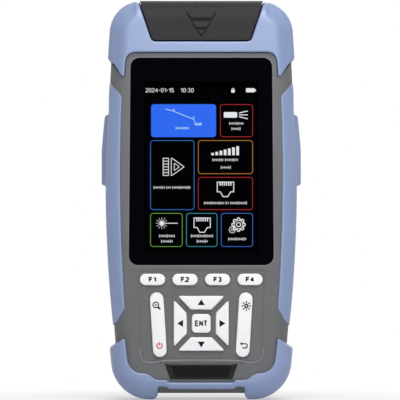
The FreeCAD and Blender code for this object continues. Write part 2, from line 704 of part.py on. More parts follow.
def barrel(name, grow, back, front, edge=None, form=CASE):
    """The case's form, grown by `grow`: bowed sides, round corners and round front and rear edges."""
    grow = as_size(grow)
    body = new_body(name)
    drawing = new_sketch(body, "front", -as_size(back))
    bow, half = form["bow"] + grow, form["half"] + grow
    top, bottom = form["top"] + grow, form["bottom"] - grow
    upper, lower = form["top_corner"] + grow, form["bottom_corner"] + grow
    bow_x = half - bow

    def corner_centre(height, radius):
        """Where a corner's circle touches the bowed side from inside, and the angle of that touch."""
        drop = height - form["belly"].value
        x = bow_x.value + math.sqrt((bow.value - radius) ** 2 - drop ** 2)
        return x, math.atan2(drop, x - bow_x.value)

    def arc(x, z, radius, start, finish):
        return Part.ArcOfCircle(Part.Circle(Vector(x, z, 0), Vector(0, 0, 1), radius), start, finish)

    upper_z, lower_z = (top - upper).value, (bottom + lower).value
    upper_x, upper_turn = corner_centre(upper_z, upper.value)
    lower_x, lower_turn = corner_centre(lower_z, lower.value)
    side_x, side_z, half_turn, quarter = bow_x.value, form["belly"].value, math.pi, math.pi / 2
    sides = drawing.addGeometry([
        arc(side_x, side_z, bow.value, lower_turn, upper_turn),
        arc(upper_x, upper_z, upper.value, upper_turn, quarter),
        Part.LineSegment(Vector(upper_x, top.value, 0), Vector(-upper_x, top.value, 0)),
        arc(-upper_x, upper_z, upper.value, quarter, half_turn - upper_turn),
        arc(-side_x, side_z, bow.value, half_turn - upper_turn, half_turn - lower_turn),
        arc(-lower_x, lower_z, lower.value, half_turn - lower_turn, 3 * quarter),
        Part.LineSegment(Vector(-lower_x, bottom.value, 0), Vector(lower_x, bottom.value, 0)),
        arc(lower_x, lower_z, lower.value, 3 * quarter, 2 * half_turn + lower_turn)], False)
    right, upper_right, over, upper_left, left, lower_left, under, lower_right = sides
    for one, next_one in zip(sides, sides[1:] + sides[:1]):
        constrain(drawing, "Tangent", one, END, next_one, START)
    for side, x in ((right, bow_x), (left, -bow_x)):
        dimension(drawing, "Radius", side, bow)
        fix_point(drawing, side, CENTRE, x, form["belly"])
    for corner, radius in ((upper_right, upper), (upper_left, upper),
                           (lower_left, lower), (lower_right, lower)):
        dimension(drawing, "Radius", corner, radius)
    for line, height in ((over, top), (under, bottom)):
        constrain(drawing, "Horizontal", line)
        dimension(drawing, "DistanceY", *ORIGIN_POINT, line, START, height)
    add_pad(body, drawing, as_size(front) + back)
    if edge:
        flat_ends = (lies_at_front(as_size(front)), lies_at_front(-as_size(back)))
        soften(body, edge, lambda found: any(test(found) for test in flat_ends))
    return body


reach_x = d.case_half + d.side_reach
above = case_top + d.side_reach
below = d.case_bottom - d.side_reach
ahead = d.case_front + d.side_reach
behind = d.case_back + d.side_reach
front_inside = d.case_front - d.front_wall
back_inside = d.case_back - d.case_wall
sunk_top = case_top - d.rubber_sink
ceiling = case_top - d.case_wall


def sunk_barrel(name, rise):
    """The floor of the rubber's recess, raised by `rise`."""
    grow = as_size(rise) - d.rubber_sink
    return barrel(name, grow, d.case_back + grow, d.case_front + grow, d.edge_round + grow)


recess_floor = sunk_barrel("recess_floor", ZERO)
rubber_floor = sunk_barrel("rubber_floor", d.rubber_gap)
bumper_form = barrel("bumper_form", d.bumper_proud, d.case_back + d.bumper_proud,
                     d.case_front + d.bumper_proud, d.edge_round + d.bumper_proud)
foot_form = barrel("foot_form", d.foot_proud, d.case_back + d.foot_face_proud,
                   d.case_front + d.foot_face_proud, d.edge_round + d.foot_face_proud)
grip_form = barrel("grip_form", ZERO, d.case_back + d.grip_face, d.case_front + d.grip_face,
                   d.edge_round, GRIP)


cover_low = panel_high + d.cover_rise
slant_length = (1 + d.cover_slant * d.cover_slant).root()


def cover_corner(gap):
    """The lower right corner of the dust cover's outline, grown by `gap`."""
    return d.cover_low_half + gap * (slant_length - d.cover_slant), cover_low - gap


def cover_prism(name, gap, rounding, back):
    """The dust cover's outline seen from the front, its sides leaning outwards, grown by `gap`."""
    half, low = cover_corner(gap)
    body = prism(name, mirrored([(half, low), (half + (above - low) * d.cover_slant, above)]), back, ahead)
    soften(body, rounding, stands_near("Y", *[(side * half, 0, low) for side in (1, -1)]))
    return body


# --------------------------------------------------------------------------------------------------
# Rubber: the top bumper, the two grips and the bottom bumper with its feet
# --------------------------------------------------------------------------------------------------

band_low = panel_high + d.band_rise
horn_tip_low = panel_high - d.horn_tip_drop
bumper_region = prism("bumper_region", mirrored([
    (d.horn_inner, band_low), (d.horn_tip_inner, horn_tip_low),
    (d.horn_tip_inner + d.horn_tip_width, horn_tip_low), (reach_x, horn_tip_low + d.horn_rise),
    (reach_x, above)]), -behind, ahead)
soften(bumper_region, d.band_round, stands_near("Y", *[
    (side * d.horn_inner, 0, band_low) for side in (1, -1)]))

cover_notch = cover_prism("cover_notch", d.cover_gap, d.cover_round + d.cover_gap,
                          -d.hinge_back - d.hinge_room)

pin_reach = d.hinge_half + d.hinge_pin_long
hinge_axle_hole = rod("hinge_axle_hole", "X", (-pin_reach - d.hinge_pin_gap, d.hinge_back, case_top),
                      d.hinge_pin + d.hinge_pin_gap, (pin_reach + d.hinge_pin_gap) * 2)
cut("top_bumper", common("bumper_skin", bumper_region, bumper_form), rubber_floor, cover_notch,
    hinge_axle_hole)

grip_inside = barrel("grip_inside", -d.grip_width, behind, ahead)


def grip(name, side):
    """One side grip with its finger hump; returns the region that it takes up."""
    wedge = prism(f"{name}_wedge", [
        (d.grip_line * side, d.grip_low_in), (reach_x * side, d.grip_low_in - d.grip_low_fall),
        (reach_x * side, d.grip_top_in + d.grip_top_rise), (d.grip_line * side, d.grip_top_in)],
        -behind, ahead)
    region = cut(f"{name}_region", wedge, grip_inside)
    hump = new_body(f"{name}_hump")
    drawing = new_sketch(hump, "front", d.hump_front - d.hump_depth)
    inner = (d.case_half - d.grip_width / 2) * side
    middle = (d.hump_low + d.hump_top) / 2
    draw_polygon(drawing, [
        (inner, d.hump_low), ((d.case_half + d.hump_proud) * side, d.hump_low),
        ((d.case_half + d.hump_swell) * side, middle),
        ((d.case_half + d.hump_top_proud) * side, d.hump_top), (inner, d.hump_top)])
    add_pad(hump, drawing, d.hump_depth)
    soften(hump, d.hump_round, stands_outside(d.case_half))
    cut(name, fuse(f"{name}_with_hump", common(f"{name}_skin", region, grip_form), hump),
        rubber_floor)
    return region


grip_regions = [grip("left_grip", -1), grip("right_grip", 1)]

strip_low = d.strip_high - d.strip_tall
step_half = d.strip_half + d.strip_step / 2
foot_region = prism("foot_region", mirrored([
    (d.strip_half, strip_low), (step_half, strip_low + d.strip_step),
    (d.foot_end_half, strip_low + d.strip_step), (d.foot_end_half, below), (reach_x, below),
    (reach_x, d.foot_tip_height - d.foot_slant_fall), (d.foot_tip_half, d.foot_tip_height),
    (d.foot_inner_half, d.foot_bend_height), (d.foot_end_half, d.foot_bend_height),
    (d.foot_end_half, d.strip_high + d.strip_step), (step_half, d.strip_high + d.strip_step),
    (d.strip_half, d.strip_high)]), -behind, ahead)
soften(foot_region, d.foot_bend_round, stands_near("Y", *[
    (side * d.foot_inner_half, 0, d.foot_bend_height) for side in (1, -1)]))
soften(foot_region, d.foot_knee_round, stands_near("Y", *[
    (side * d.foot_end_half, 0, d.foot_bend_height) for side in (1, -1)]))
cut("bottom_bumper", common("foot_skin", foot_region, foot_form), rubber_floor)

# --------------------------------------------------------------------------------------------------
# Keys: outlines and levels shared by the keys, their holes and their switches
# --------------------------------------------------------------------------------------------------

deck = d.case_front - d.deck_sink
key_face = deck + d.key_proud
flange_back = front_inside - d.key_seat - d.key_flange_thick
post_end = flange_back - d.post_long
switch_front = post_end - d.key_travel - d.key_spare
key_board_front = switch_front - d.switch_tall
key_board_back = key_board_front - d.board_thick
rocker_flange_back = front_inside - d.rocker_float - d.key_flange_thick


def draw_soft_key(drawing, grow):
    draw_slot(drawing, d.soft_wide / 2 + grow, d.soft_tall / 2 + grow, upright=False)


def draw_rocker(drawing, grow):
    draw_slot(drawing, d.rocker_long / 2 + grow, d.rocker_wide / 2 + grow, upright=True)


def arrow_corners(grow):
    """An arrow key's outline above the enter key; its slants run at 45 degrees."""
    shift = as_size(grow) * as_size(2).root() - d.arrow_slant
    outer, inner = d.arrow_outer + grow, d.arrow_inner - grow
    return mirrored([(inner + shift, inner), (outer + shift, outer)])


def draw_arrow(drawing, grow):
    draw_polygon(drawing, arrow_corners(grow))


def draw_enter(drawing, grow):
    half = d.enter_side / 2 + grow
    draw_rectangle(drawing, -half, half, -half, half)


# name: (outline, corner radius, x, z, turn in the key plane)
soft_keys = {f"key_f{n}": (draw_soft_key, None, d.row_pitch * (n - (SOFT_KEYS + 1) / 2), d.row_height, 0)
             for n in range(1, SOFT_KEYS + 1)}
arrow_keys = {f"key_{name}": (draw_arrow, d.arrow_round, ZERO, d.pad_height, turn)
              for name, turn in (("up", 0), ("right", 90), ("down", 180), ("left", 270))}
enter_keys = {"key_enter": (draw_enter, d.enter_round, ZERO, d.pad_height, 0)}
push_keys = {**soft_keys, **arrow_keys, **enter_keys}
rockers = {f"{name}_rocker": (draw_rocker, None, d.rocker_across * side, d.rocker_height, side)
           for name, side in (("left", -1), ("right", 1))}


def key_prism(name, key, grow, back, front):
    """A key's outline, grown by `grow` and filled from back to front, in the key's place."""
    outline, corner = key[:2]
    body = new_body(name)
    drawing = new_sketch(body, "front", back)
    outline(drawing, grow)
    add_pad(body, drawing, as_size(front) - back)
    if corner:
        soften(body, corner + grow, runs_along("Y"))
    place_key(body, key)
    return body


def place_key(body, key):
    """Sets a body at a key's place; a rocker leans by an angle from the sheet."""
    outline, _, x, z, turn = key
    place(body, x, ZERO, z)
    if outline is draw_rocker:
        body.Placement.Rotation = Rotation(Vector(0, 1, 0), 1)
        bind(body, "Placement.Rotation.Angle", d.rocker_lean * turn)
    else:
        body.Placement.Rotation = Rotation(Vector(0, 1, 0), turn)


arrow_middle = (d.arrow_inner + d.arrow_outer) / 2
key_throw = d.key_travel + d.key_spare


def key(name, shape, flange_level, post_places, throw):
    """A moulded key: cap, flange behind the deck and one or more posts towards the switches."""
    body = key_prism(name, shape, ZERO, flange_level + d.key_flange_thick, key_face)
    soften(body, d.key_top_round, lies_at_front(key_face))
    drawing = new_sketch(body, "front", flange_level)
    shape[0](drawing, d.key_flange)
    add_pad(body, drawing, d.key_flange_thick)
    drawing = new_sketch(body, "front", switch_front + throw)
    for height in post_places:
        draw_circle(drawing, ZERO, height, d.post_round)
    add_pad(body, drawing, flange_level - switch_front - throw)


for name, shape in {**soft_keys, **enter_keys}.items():
    key(name, shape, flange_back, [ZERO], key_throw)
for name, shape in arrow_keys.items():
    key(name, shape, flange_back, [arrow_middle], key_throw)
for name, shape in rockers.items():
    key(name, shape, rocker_flange_back, [d.rocker_post, -d.rocker_post], d.rocker_throw)

lean_x = d.rocker_post * math.sin(math.radians(d.rocker_lean.value))
lean_z = d.rocker_post * math.cos(math.radians(d.rocker_lean.value))
switch_places = [(shape[2], shape[3]) for shape in (*soft_keys.values(), *enter_keys.values())]
switch_places += [(ZERO, d.pad_height + arrow_middle * side) for side in (1, -1)]
switch_places += [(arrow_middle * side, d.pad_height) for side in (1, -1)]
for side in (1, -1):
    for end in (1, -1):
        switch_places.append((d.rocker_across * side + lean_x * side * end, d.rocker_height + lean_z * end))

# --------------------------------------------------------------------------------------------------
# The two shells
# --------------------------------------------------------------------------------------------------

screw_places = [(x * side, z) for side in (1, -1) for x, z in (
    (d.screw_top_half, panel_high + d.screw_rise), (d.screw_side_half, d.screw_side_height),
    (d.screw_low_half, d.screw_low_height))]
upper_screws = [(d.board_screw_top_half * side, panel_high + d.board_screw_rise) for side in (1, -1)]
lower_screws = [(d.board_screw_low_half * side, d.board_screw_low) for side in (1, -1)]

case_solid = barrel("case_solid", ZERO, d.case_back, d.case_front, d.edge_round)
case_hollow = barrel("case_hollow", -d.case_wall, back_inside, front_inside,
                     d.edge_round - d.case_wall)
shell = cut("shell", case_solid, case_hollow)
recesses = [cut("bumper_recess", bumper_region, recess_floor),
            cut("foot_recess", foot_region, recess_floor),
            cut("left_recess", grip_regions[0], recess_floor),
            cut("right_recess", grip_regions[1], recess_floor)]
bay_opening = column("bay_opening", (-d.bay_half, d.bay_half), (-d.bay_front, d.bay_back),
                     (ceiling - d.tray_wall, above), d.bay_round)

glass_top = panel_high + d.glass_rise


def glass_prism(name, grow, back, front):
    """The window's outline, slightly wider at the bottom, filled from back to front."""
    body = prism(name, mirrored([(d.glass_low_half + grow, d.glass_low - grow),
                                 (d.glass_top_half + grow, glass_top + grow)]), back, front)
    soften(body, d.glass_corner + grow, runs_along("Y"))
    return body


glass_front = d.case_front - d.glass_sink
glass_back = glass_front - d.glass_thick
ledge = glass_back - d.tape_thick


def opening_prism(name, back, front):
    """The opening round the lit area, filled from back to front."""
    half = d.screen_wide / 2 + d.opening_margin
    return prism(name, mirrored([(half, screen_low - d.opening_margin),
                                 (half, screen_high + d.opening_margin)]), back, front)


def plate_outline(grow):
    """The name plate's outline, wider at the top."""
    return mirrored([(d.plate_low_half + grow, d.plate_low - grow),
                     (d.plate_top_half + grow, d.plate_top + grow)])


window_pocket = glass_prism("window_pocket", d.glass_gap, ledge, ahead)
screen_opening = opening_prism("screen_opening", front_inside - d.tape_thick, ahead)
deck_recess = prism("deck_recess", mirrored([
    (d.deck_notch_half - d.deck_notch, d.deck_foot + d.deck_notch), (d.deck_notch_half, d.deck_foot),
    (d.deck_cut_half, d.deck_foot), (d.deck_low_half, d.deck_low), (d.deck_top_half, d.deck_top)]),
    deck, ahead)
plate_recess = prism("plate_recess", plate_outline(d.plate_gap), d.case_front - d.plate_sink, ahead)
key_holes = [key_prism(f"{name}_hole", shape, d.key_gap, front_inside - d.key_flange_thick, ahead)
             for name, shape in {**push_keys, **rockers}.items()]



def front_boss(place, radius, back):
    """A boss that stands on the front wall and reaches back to a level."""
    root = front_inside + d.front_wall / 2
    return rod("front_boss", "Y", (place[0], -root, place[1]), radius, root - back)


def front_pilot(place, radius, back, depth):
    """A screw's hole, cut forwards from the end of a boss."""
    return rod("front_pilot", "Y", (place[0], -back - depth, place[1]), radius, depth)


# the lower board bosses pass through the key board on narrower noses
front_bosses = [
    *[front_boss(place, d.boss_round, d.parting) for place in screw_places],
    *[front_boss(place, d.board_boss_round, d.main_front) for place in upper_screws],
    *[front_boss(place, d.board_boss_round, key_board_front) for place in lower_screws],
    *[front_boss(place, d.boss_nose_round, d.main_front) for place in lower_screws]]
front_pilots = [
    *[front_pilot(place, d.screw_shank, d.parting, d.screw_bite + d.pilot_spare)
      for place in screw_places],
    *[front_pilot(place, d.board_screw_shank, d.main_front, d.board_screw_bite)
      for place in upper_screws + lower_screws]]

front_space = box("front_space", (-reach_x, reach_x), (-ahead, -d.parting), (below, above))
rear_space = box("rear_space", (-reach_x, reach_x), (-d.parting, behind), (below, above))

cut("front_case", fuse("front_blank", common("front_half", shell, front_space), *front_bosses),
    group("front_pockets", [*recesses, window_pocket, deck_recess, plate_recess, *front_pilots]),
    group("front_openings", [screen_opening, *key_holes, bay_opening]))

# the rear shell: the stand's well, the screws' bosses and the groove for the seal
stand_axis = d.case_back - d.stand_sink - d.stand_barrel
well_floor = stand_axis - d.stand_barrel - d.stand_gap
well_half = d.stand_half + d.stand_gap
well_top = d.stand_pivot + d.stand_barrel + d.stand_gap
well_low = d.stand_pivot - d.stand_long - d.stand_gap
well_block = box("well_block", (-well_half - d.well_side, well_half + d.well_side),
                 (well_floor - d.well_wall, back_inside + d.case_wall / 2),
                 (well_low - d.well_side, well_top + d.well_side))
well = prism("well", mirrored([(well_half, well_low), (well_half, well_top)]), -behind, -well_floor)
soften(well, d.stand_round + d.stand_gap, stands_near("Y", (well_half, 0, well_low),
                                                      (-well_half, 0, well_low)))
pin_half = well_half + d.pin_grip
pin_hole = rod("pin_hole", "X", (-pin_half - d.pin_gap, stand_axis, d.stand_pivot),
               d.pin_round + d.pin_gap, (pin_half + d.pin_gap) * 2)
head_back = d.case_back - d.screw_seat
head_front = head_back - d.screw_head_tall
rear_bosses = [rod("rear_boss", "Y", (x, -d.parting, z), d.boss_round,
                   d.parting + back_inside + d.case_wall / 2) for x, z in screw_places]
screw_ways = [fuse("screw_way",
    rod("head_way", "Y", (x, head_front, z), d.screw_head + d.screw_gap, behind - head_front),
    rod("shank_way", "Y", (x, -d.parting, z), d.screw_shank + d.screw_gap,
        d.parting + head_front)) for x, z in screw_places]

seal_inside = -(d.case_wall - d.seal_inset)
seal_outside = seal_inside + d.seal_width
bay_clear = box("bay_clear", (-d.bay_half - d.tray_wall, d.bay_half + d.tray_wall),
                (-ahead, behind), (ceiling - d.bay_depth, above))


def seal_ring(name, gap):
    """The loop that follows the wall at the parting plane and stops beside the port bay."""
    back = -d.parting + d.seal_height
    return cut(name, barrel(f"{name}_outside", seal_outside + gap, back, d.parting),
               barrel(f"{name}_inside", seal_inside - gap, back, d.parting), bay_clear)


rear_blank = fuse("rear_blank", common("rear_half", shell, rear_space), well_block, *rear_bosses)
cut("rear_case", rear_blank,
    group("rear_pockets", [*recesses, well, *screw_ways, seal_ring("seal_groove", d.seal_gap)]),
    group("rear_openings", [pin_hole, bay_opening]))
seal_ring("case_seal", ZERO)

# --------------------------------------------------------------------------------------------------
# The dust cover: a tongue over the front, a top plate with a plug into the port bay, and its hinge
# --------------------------------------------------------------------------------------------------

cover_skin = cover_prism("cover_skin", ZERO, d.cover_round, -d.hinge_back)
cover_plate = cut("cover_plate", common("cover_shape", cover_skin, bumper_form),
                  sunk_barrel("cover_floor", d.cover_lift))
plug_half = d.bay_half - d.plug_gap
plug_front = d.bay_front - d.plug_gap
plug_back = d.bay_back - d.plug_gap
plug_round = d.bay_round - d.plug_gap
plug_span = (sunk_top - d.plug_deep, sunk_top + d.bumper_proud)
plug_ring = cut("plug_ring",
                column("plug_outside", (-plug_half, plug_half), (-plug_front, plug_back), plug_span,
                       plug_round),
                box("plug_inside", (-plug_half + d.plug_wall, plug_half - d.plug_wall),
                    (-plug_front + d.plug_wall, plug_back - d.plug_wall),
                    (plug_span[0], sunk_top + d.cover_lift)))
fuse("dust_cover", cover_plate, plug_ring,
     rod("hinge_bead", "X", (-d.hinge_half, d.hinge_back, case_top), d.hinge_bead, d.hinge_half * 2),
     rod("hinge_axle", "X", (-pin_reach, d.hinge_back, case_top), d.hinge_pin, pin_reach * 2))

# --------------------------------------------------------------------------------------------------
# The window, the display and the name plate
# --------------------------------------------------------------------------------------------------

window = glass_prism("display_window", ZERO, glass_back, glass_front)
soften(window, d.glass_bevel, lies_at_front(glass_front), "Chamfer")
cut("window_tape", glass_prism("tape_sheet", -d.tape_inset, ledge, glass_back),
    opening_prism("tape_opening", ledge, glass_back))

panel_front = front_inside - d.panel_gap
panel_back = panel_front - d.panel_thick
light_back = panel_back - d.light_thick
panel_half = d.screen_wide / 2 + d.panel_side


def panel_sheet(name, back, front):
    """The display's outline, filled from back to front."""
    return prism(name, mirrored([(panel_half, d.panel_low), (panel_half, panel_high)]), back, front)


panel_sheet("display_panel", panel_back, panel_front)
light = panel_sheet("display_light", light_back, panel_back)
drawing = new_sketch(light, "front", panel_back)
draw_rectangle(drawing, -panel_half + d.light_wall, panel_half - d.light_wall,
               d.panel_low + d.light_wall, panel_high - d.light_wall)
add_pocket(light, drawing, d.light_dish)

# the ribbon hangs from the panel's lower edge, runs back over the key board and up the main board
ribbon_high = d.panel_low - d.ribbon_drop
ribbon = new_body("display_ribbon")
drawing = new_sketch(ribbon, "side", -d.ribbon_wide / 2)
ribbon_front = panel_front - d.ribbon_sink
ribbon_back = d.main_front + d.ribbon_lift
draw_polygon(drawing, [
    (-ribbon_front, d.panel_low - d.ribbon_lift), (-ribbon_front, ribbon_high - d.ribbon_thick),
    (-ribbon_back, ribbon_high - d.ribbon_thick), (-ribbon_back, ribbon_high + d.ribbon_rise),
    (-ribbon_back - d.ribbon_thick, ribbon_high + d.ribbon_rise),
    (-ribbon_back - d.ribbon_thick, ribbon_high), (-ribbon_front + d.ribbon_thick, ribbon_high),
    (-ribbon_front + d.ribbon_thick, d.panel_low - d.ribbon_lift)])
add_pad(ribbon, drawing, d.ribbon_wide)

plate_back = d.case_front - d.plate_sink
name_plate = prism("name_plate", plate_outline(ZERO), plate_back, plate_back + d.plate_thick)
soften(name_plate, d.plate_round, runs_along("Y"))
soften(name_plate, d.plate_bevel, lies_at_front(plate_back + d.plate_thick), "Chamfer")

# --------------------------------------------------------------------------------------------------
# The keypad's mat, board and switches
# --------------------------------------------------------------------------------------------------

knee_tall = d.key_board_knee - d.key_board_low
knee_wide = d.key_board_half - d.key_board_low_half
knee_long = (knee_tall * knee_tall + knee_wide * knee_wide).root()


def board_outline(inset):
    """The key board's outline, its lower corners cut off, drawn in by `inset` on every side."""
    low, half = d.key_board_low + inset, d.key_board_half - inset
    slant_shift = inset * knee_long / knee_tall
    slant_x = d.key_board_low_half + inset * knee_wide / knee_tall - slant_shift
    return mirrored([(slant_x, low), (half, low + (half - slant_x) * knee_tall / knee_wide),
                     (half, d.key_board_top - inset)])


def drill(body, level, depth, places, radius):
    """Round holes cut backwards from a level."""
    drawing = new_sketch(body, "front", level)
    for x, z in places:
        draw_circle(drawing, x, z, radius)
    add_pocket(body, drawing, depth)


key_board = prism("key_board", board_outline(ZERO), key_board_back, key_board_front)
drill(key_board, key_board_front, d.board_thick, lower_screws, d.boss_nose_round + d.board_hole_gap)

mat_front = key_board_front + d.mat_thick
mat = prism("mat_tray", board_outline(ZERO), key_board_front, front_inside - d.mat_gap)
drawing = new_sketch(mat, "front", front_inside - d.mat_gap)
draw_polygon(drawing, board_outline(d.mat_thick))
add_pocket(mat, drawing, front_inside - d.mat_gap - mat_front)
drill(mat, mat_front, d.mat_thick, lower_screws, d.board_boss_round + d.board_hole_gap)
room = d.switch_side / 2 + d.switch_room
switch_rooms = group("switch_rooms", [
    box("switch_room", (x - room, x + room), (-mat_front, -key_board_front), (z - room, z + room))
    for x, z in switch_places])
ridges = []
for name, shape in rockers.items():
    ridge = prism(f"{name}_ridge", mirrored([(d.rocker_wide / 2, -d.ridge_wide / 2),
                                             (d.rocker_wide / 2, d.ridge_wide / 2)]),
                  mat_front - d.mat_thick / 2, rocker_flange_back - d.ridge_gap)
    place_key(ridge, shape)
    ridges.append(ridge)
fuse("keypad_mat", cut("mat_sheet", mat, switch_rooms), *ridges)


def switch(x, z):
    """A tact switch: a square body with a round button."""
    half = d.switch_side / 2
    return fuse("switch",
                box("switch_body", (x - half, x + half),
                    (-key_board_front - d.switch_thick, -key_board_front), (z - half, z + half)),
                rod("switch_button", "Y", (x, -switch_front, z), d.switch_button,
                    switch_front - key_board_front))


group("key_switches", [switch(x, z) for x, z in switch_places])

# --------------------------------------------------------------------------------------------------
# The main board and what it carries
# --------------------------------------------------------------------------------------------------

main_back = d.main_front - d.board_thick
main_neck = panel_high - d.neck_drop
main_board = prism("main_board", mirrored([
    (d.main_half, d.main_low), (d.main_half, main_neck),
    (d.main_neck_half, main_neck + d.main_half - d.main_neck_half),
    (d.main_neck_half, panel_high + d.main_rise)]), main_back, d.main_front)
drill(main_board, d.main_front, d.board_thick, lower_screws + upper_screws,
      d.board_screw_shank + d.board_hole_gap)

box("board_link", (-d.link_wide / 2, d.link_wide / 2), (-key_board_back, -d.main_front),
    (d.link_height, d.link_height + d.link_tall))

module_back = main_back - d.module_thick
module_high = d.module_low + d.module_tall
module = prism("laser_module", mirrored([(d.module_wide / 2, d.module_low),
                                         (d.module_wide / 2, module_high)]), module_back, main_back)
soften(module, d.module_round, runs_along("Y"))
drawing = new_sketch(module, "front", module_back + d.module_step)
draw_rectangle(drawing, -d.module_wide / 2, d.module_wide / 2,
               d.module_low - d.module_step, d.module_low + d.module_lip)
add_pocket(module, drawing, d.module_step)

# the launch fibre's reel lies on the module's back
reel_middle = (d.module_low + module_high) / 2
reel = new_body("fibre_reel")
drawing = new_sketch(reel, "side", ZERO)
reel_start, reel_end = -module_back, d.reel_thick - module_back
draw_polygon(drawing, [
    (reel_start, d.reel_bore), (reel_start, d.reel_round),
    (reel_start + d.reel_flange, d.reel_round), (reel_start + d.reel_flange, d.reel_hub),
    (reel_end - d.reel_flange, d.reel_hub), (reel_end - d.reel_flange, d.reel_round),
    (reel_end, d.reel_round), (reel_end, d.reel_bore)])
revolution = reel.newObject("PartDesign::Revolution", "revolution")
revolution.Profile = drawing
revolution.ReferenceAxis = (drawing, ["H_Axis"])
revolution.Angle = 360
place(reel, ZERO, ZERO, reel_middle)

coil_span = d.reel_thick - d.reel_flange * 2 - d.coil_gap * 2
coil_start = reel_start + d.reel_flange + d.coil_gap
cut("launch_fibre",
    rod("coil_outside", "Y", (ZERO, coil_start, reel_middle), d.coil_round, coil_span),
    rod("coil_inside", "Y", (ZERO, coil_start, reel_middle), d.reel_hub + d.coil_gap, coil_span))

shield_corners = ((-d.shield_wide - d.shield_space, d.shield_low),
                  (d.shield_space, d.shield_low + d.shield_tall))
group("processor_shields", [
    box("shield", (x, x + d.shield_wide), (-main_back, d.shield_thick - main_back), (z, z + d.shield_tall))
    for x, z in shield_corners])

rod("buzzer", "Y", (d.buzzer_across, -main_back, panel_high - d.buzzer_drop), d.buzzer_round,
    d.buzzer_thick)

# --------------------------------------------------------------------------------------------------
# The battery: two cells in a holder that lies against the stand's well
# --------------------------------------------------------------------------------------------------

holder_back = well_floor - d.well_wall - d.holder_gap
holder_floor = holder_back - d.holder_wall
cell_y = holder_floor - d.cell_gap / 2 - d.cell_round
cell_x = d.cell_round + d.cell_gap / 2
pocket_half = cell_x + d.cell_round + d.cell_gap / 2
pocket_low = d.cell_low - d.contact_thick
pocket_high = d.cell_low + d.cell_long + d.cell_tip_long + d.contact_thick
holder = new_body("battery_holder")
drawing = new_sketch(holder, "front", -holder_back)
draw_rectangle(drawing, -pocket_half - d.holder_wall, pocket_half + d.holder_wall,
               pocket_low - d.holder_wall, pocket_high + d.holder_wall)
add_pad(holder, drawing, d.holder_wall + d.holder_lip)
soften(holder, d.holder_wall, runs_along("Y"))
drawing = new_sketch(holder, "front", -holder_floor + d.holder_lip)
draw_rectangle(drawing, -pocket_half, pocket_half, pocket_low, pocket_high)
add_pocket(holder, drawing, d.holder_lip)
group("battery_cells", [fuse("cell",
    rod("cell_can", "Z", (cell_x * side, cell_y, d.cell_low), d.cell_round, d.cell_long),
    rod("cell_tip", "Z", (cell_x * side, cell_y, d.cell_low + d.cell_long), d.cell_tip,
        d.cell_tip_long)) for side in (1, -1)])
group("battery_contacts", [
    box("contact", (cell_x * side - d.contact_half, cell_x * side + d.contact_half),
        (holder_floor - d.holder_lip, holder_floor), (low, low + d.contact_thick))
    for side in (1, -1) for low in (pocket_low, pocket_high - d.contact_thick)])

# --------------------------------------------------------------------------------------------------
# The port tray and the ports
# --------------------------------------------------------------------------------------------------

floor_top = case_top - d.bay_depth
floor_low = floor_top - d.tray_floor
row_y = -d.port_row
ports = {"otdr": (-d.otdr_across, row_y), "vfl": (-d.vfl_across, row_y), "opm": (d.opm_across, row_y)}
jack_front = -main_back
jack_y = (jack_front, jack_front + d.jack_deep)
jack_x = (d.jack_across - d.jack_wide / 2, d.jack_across + d.jack_wide / 2)
jack_top = floor_top + d.jack_proud
charge_x = (-d.charge_across - d.charge_wide / 2, d.charge_wide / 2 - d.charge_across)
charge_y = (d.charge_back - d.charge_tall / 2, d.charge_back + d.charge_tall / 2)
port_board_top = floor_low - d.port_board_drop
post_places = [(-d.post_left, d.post_back), (d.post_right, d.post_back)]

tray = column("tray_block", (-d.bay_half - d.tray_wall, d.bay_half + d.tray_wall),
              (-d.bay_front - d.tray_wall, d.bay_back + d.tray_wall),
              (floor_low, ceiling - d.tray_gap), d.bay_round + d.tray_wall)
tray_hollow = column("tray_hollow", (-d.bay_half, d.bay_half), (-d.bay_front, d.bay_back),
                     (floor_top, above), d.bay_round)
tray_posts = [rod("tray_post", "Z", (x, y, port_board_top), d.post_round, floor_low - port_board_top)
              for x, y in post_places]
port_ways = group("port_ways", [
    rod("otdr_way", "Z", (*ports["otdr"], floor_low), d.barrel_round + d.port_gap, d.tray_floor),
    rod("vfl_way", "Z", (*ports["vfl"], floor_low), d.ring_round + d.port_gap, d.tray_floor),
    rod("opm_way", "Z", (*ports["opm"], floor_low), d.ring_round + d.port_gap, d.tray_floor),
    box("jack_way", (jack_x[0] - d.port_gap, jack_x[1] + d.port_gap),
        (jack_y[0] - d.port_gap, jack_y[1] + d.port_gap), (floor_low, floor_top)),
    column("charge_way", (charge_x[0] - d.port_gap, charge_x[1] + d.port_gap),
           (charge_y[0] - d.port_gap, charge_y[1] + d.port_gap), (floor_low, floor_top),
           d.charge_tall / 2 + d.port_gap - d.charge_flat),
    rod("torch_way", "Z", (-d.torch_across, d.torch_back, floor_low), d.torch_round + d.port_gap,
        d.tray_floor)])
flange_screw_places = [(ports["otdr"][0] + d.flange_screw * side, row_y - d.flange_screw * side)
                       for side in (1, -1)]
screw_pilots = group("tray_pilots", [
    *[rod("flange_pilot", "Z", (x, y, floor_low), d.small_screw, d.tray_floor)
      for x, y in flange_screw_places],
    *[rod("post_pilot", "Z", (x, y, port_board_top), d.board_screw_shank, d.post_bite)
      for x, y in post_places]])
cut("port_tray", fuse("tray_blank", cut("tray_shell", tray, tray_hollow), *tray_posts),
    port_ways, screw_pilots)

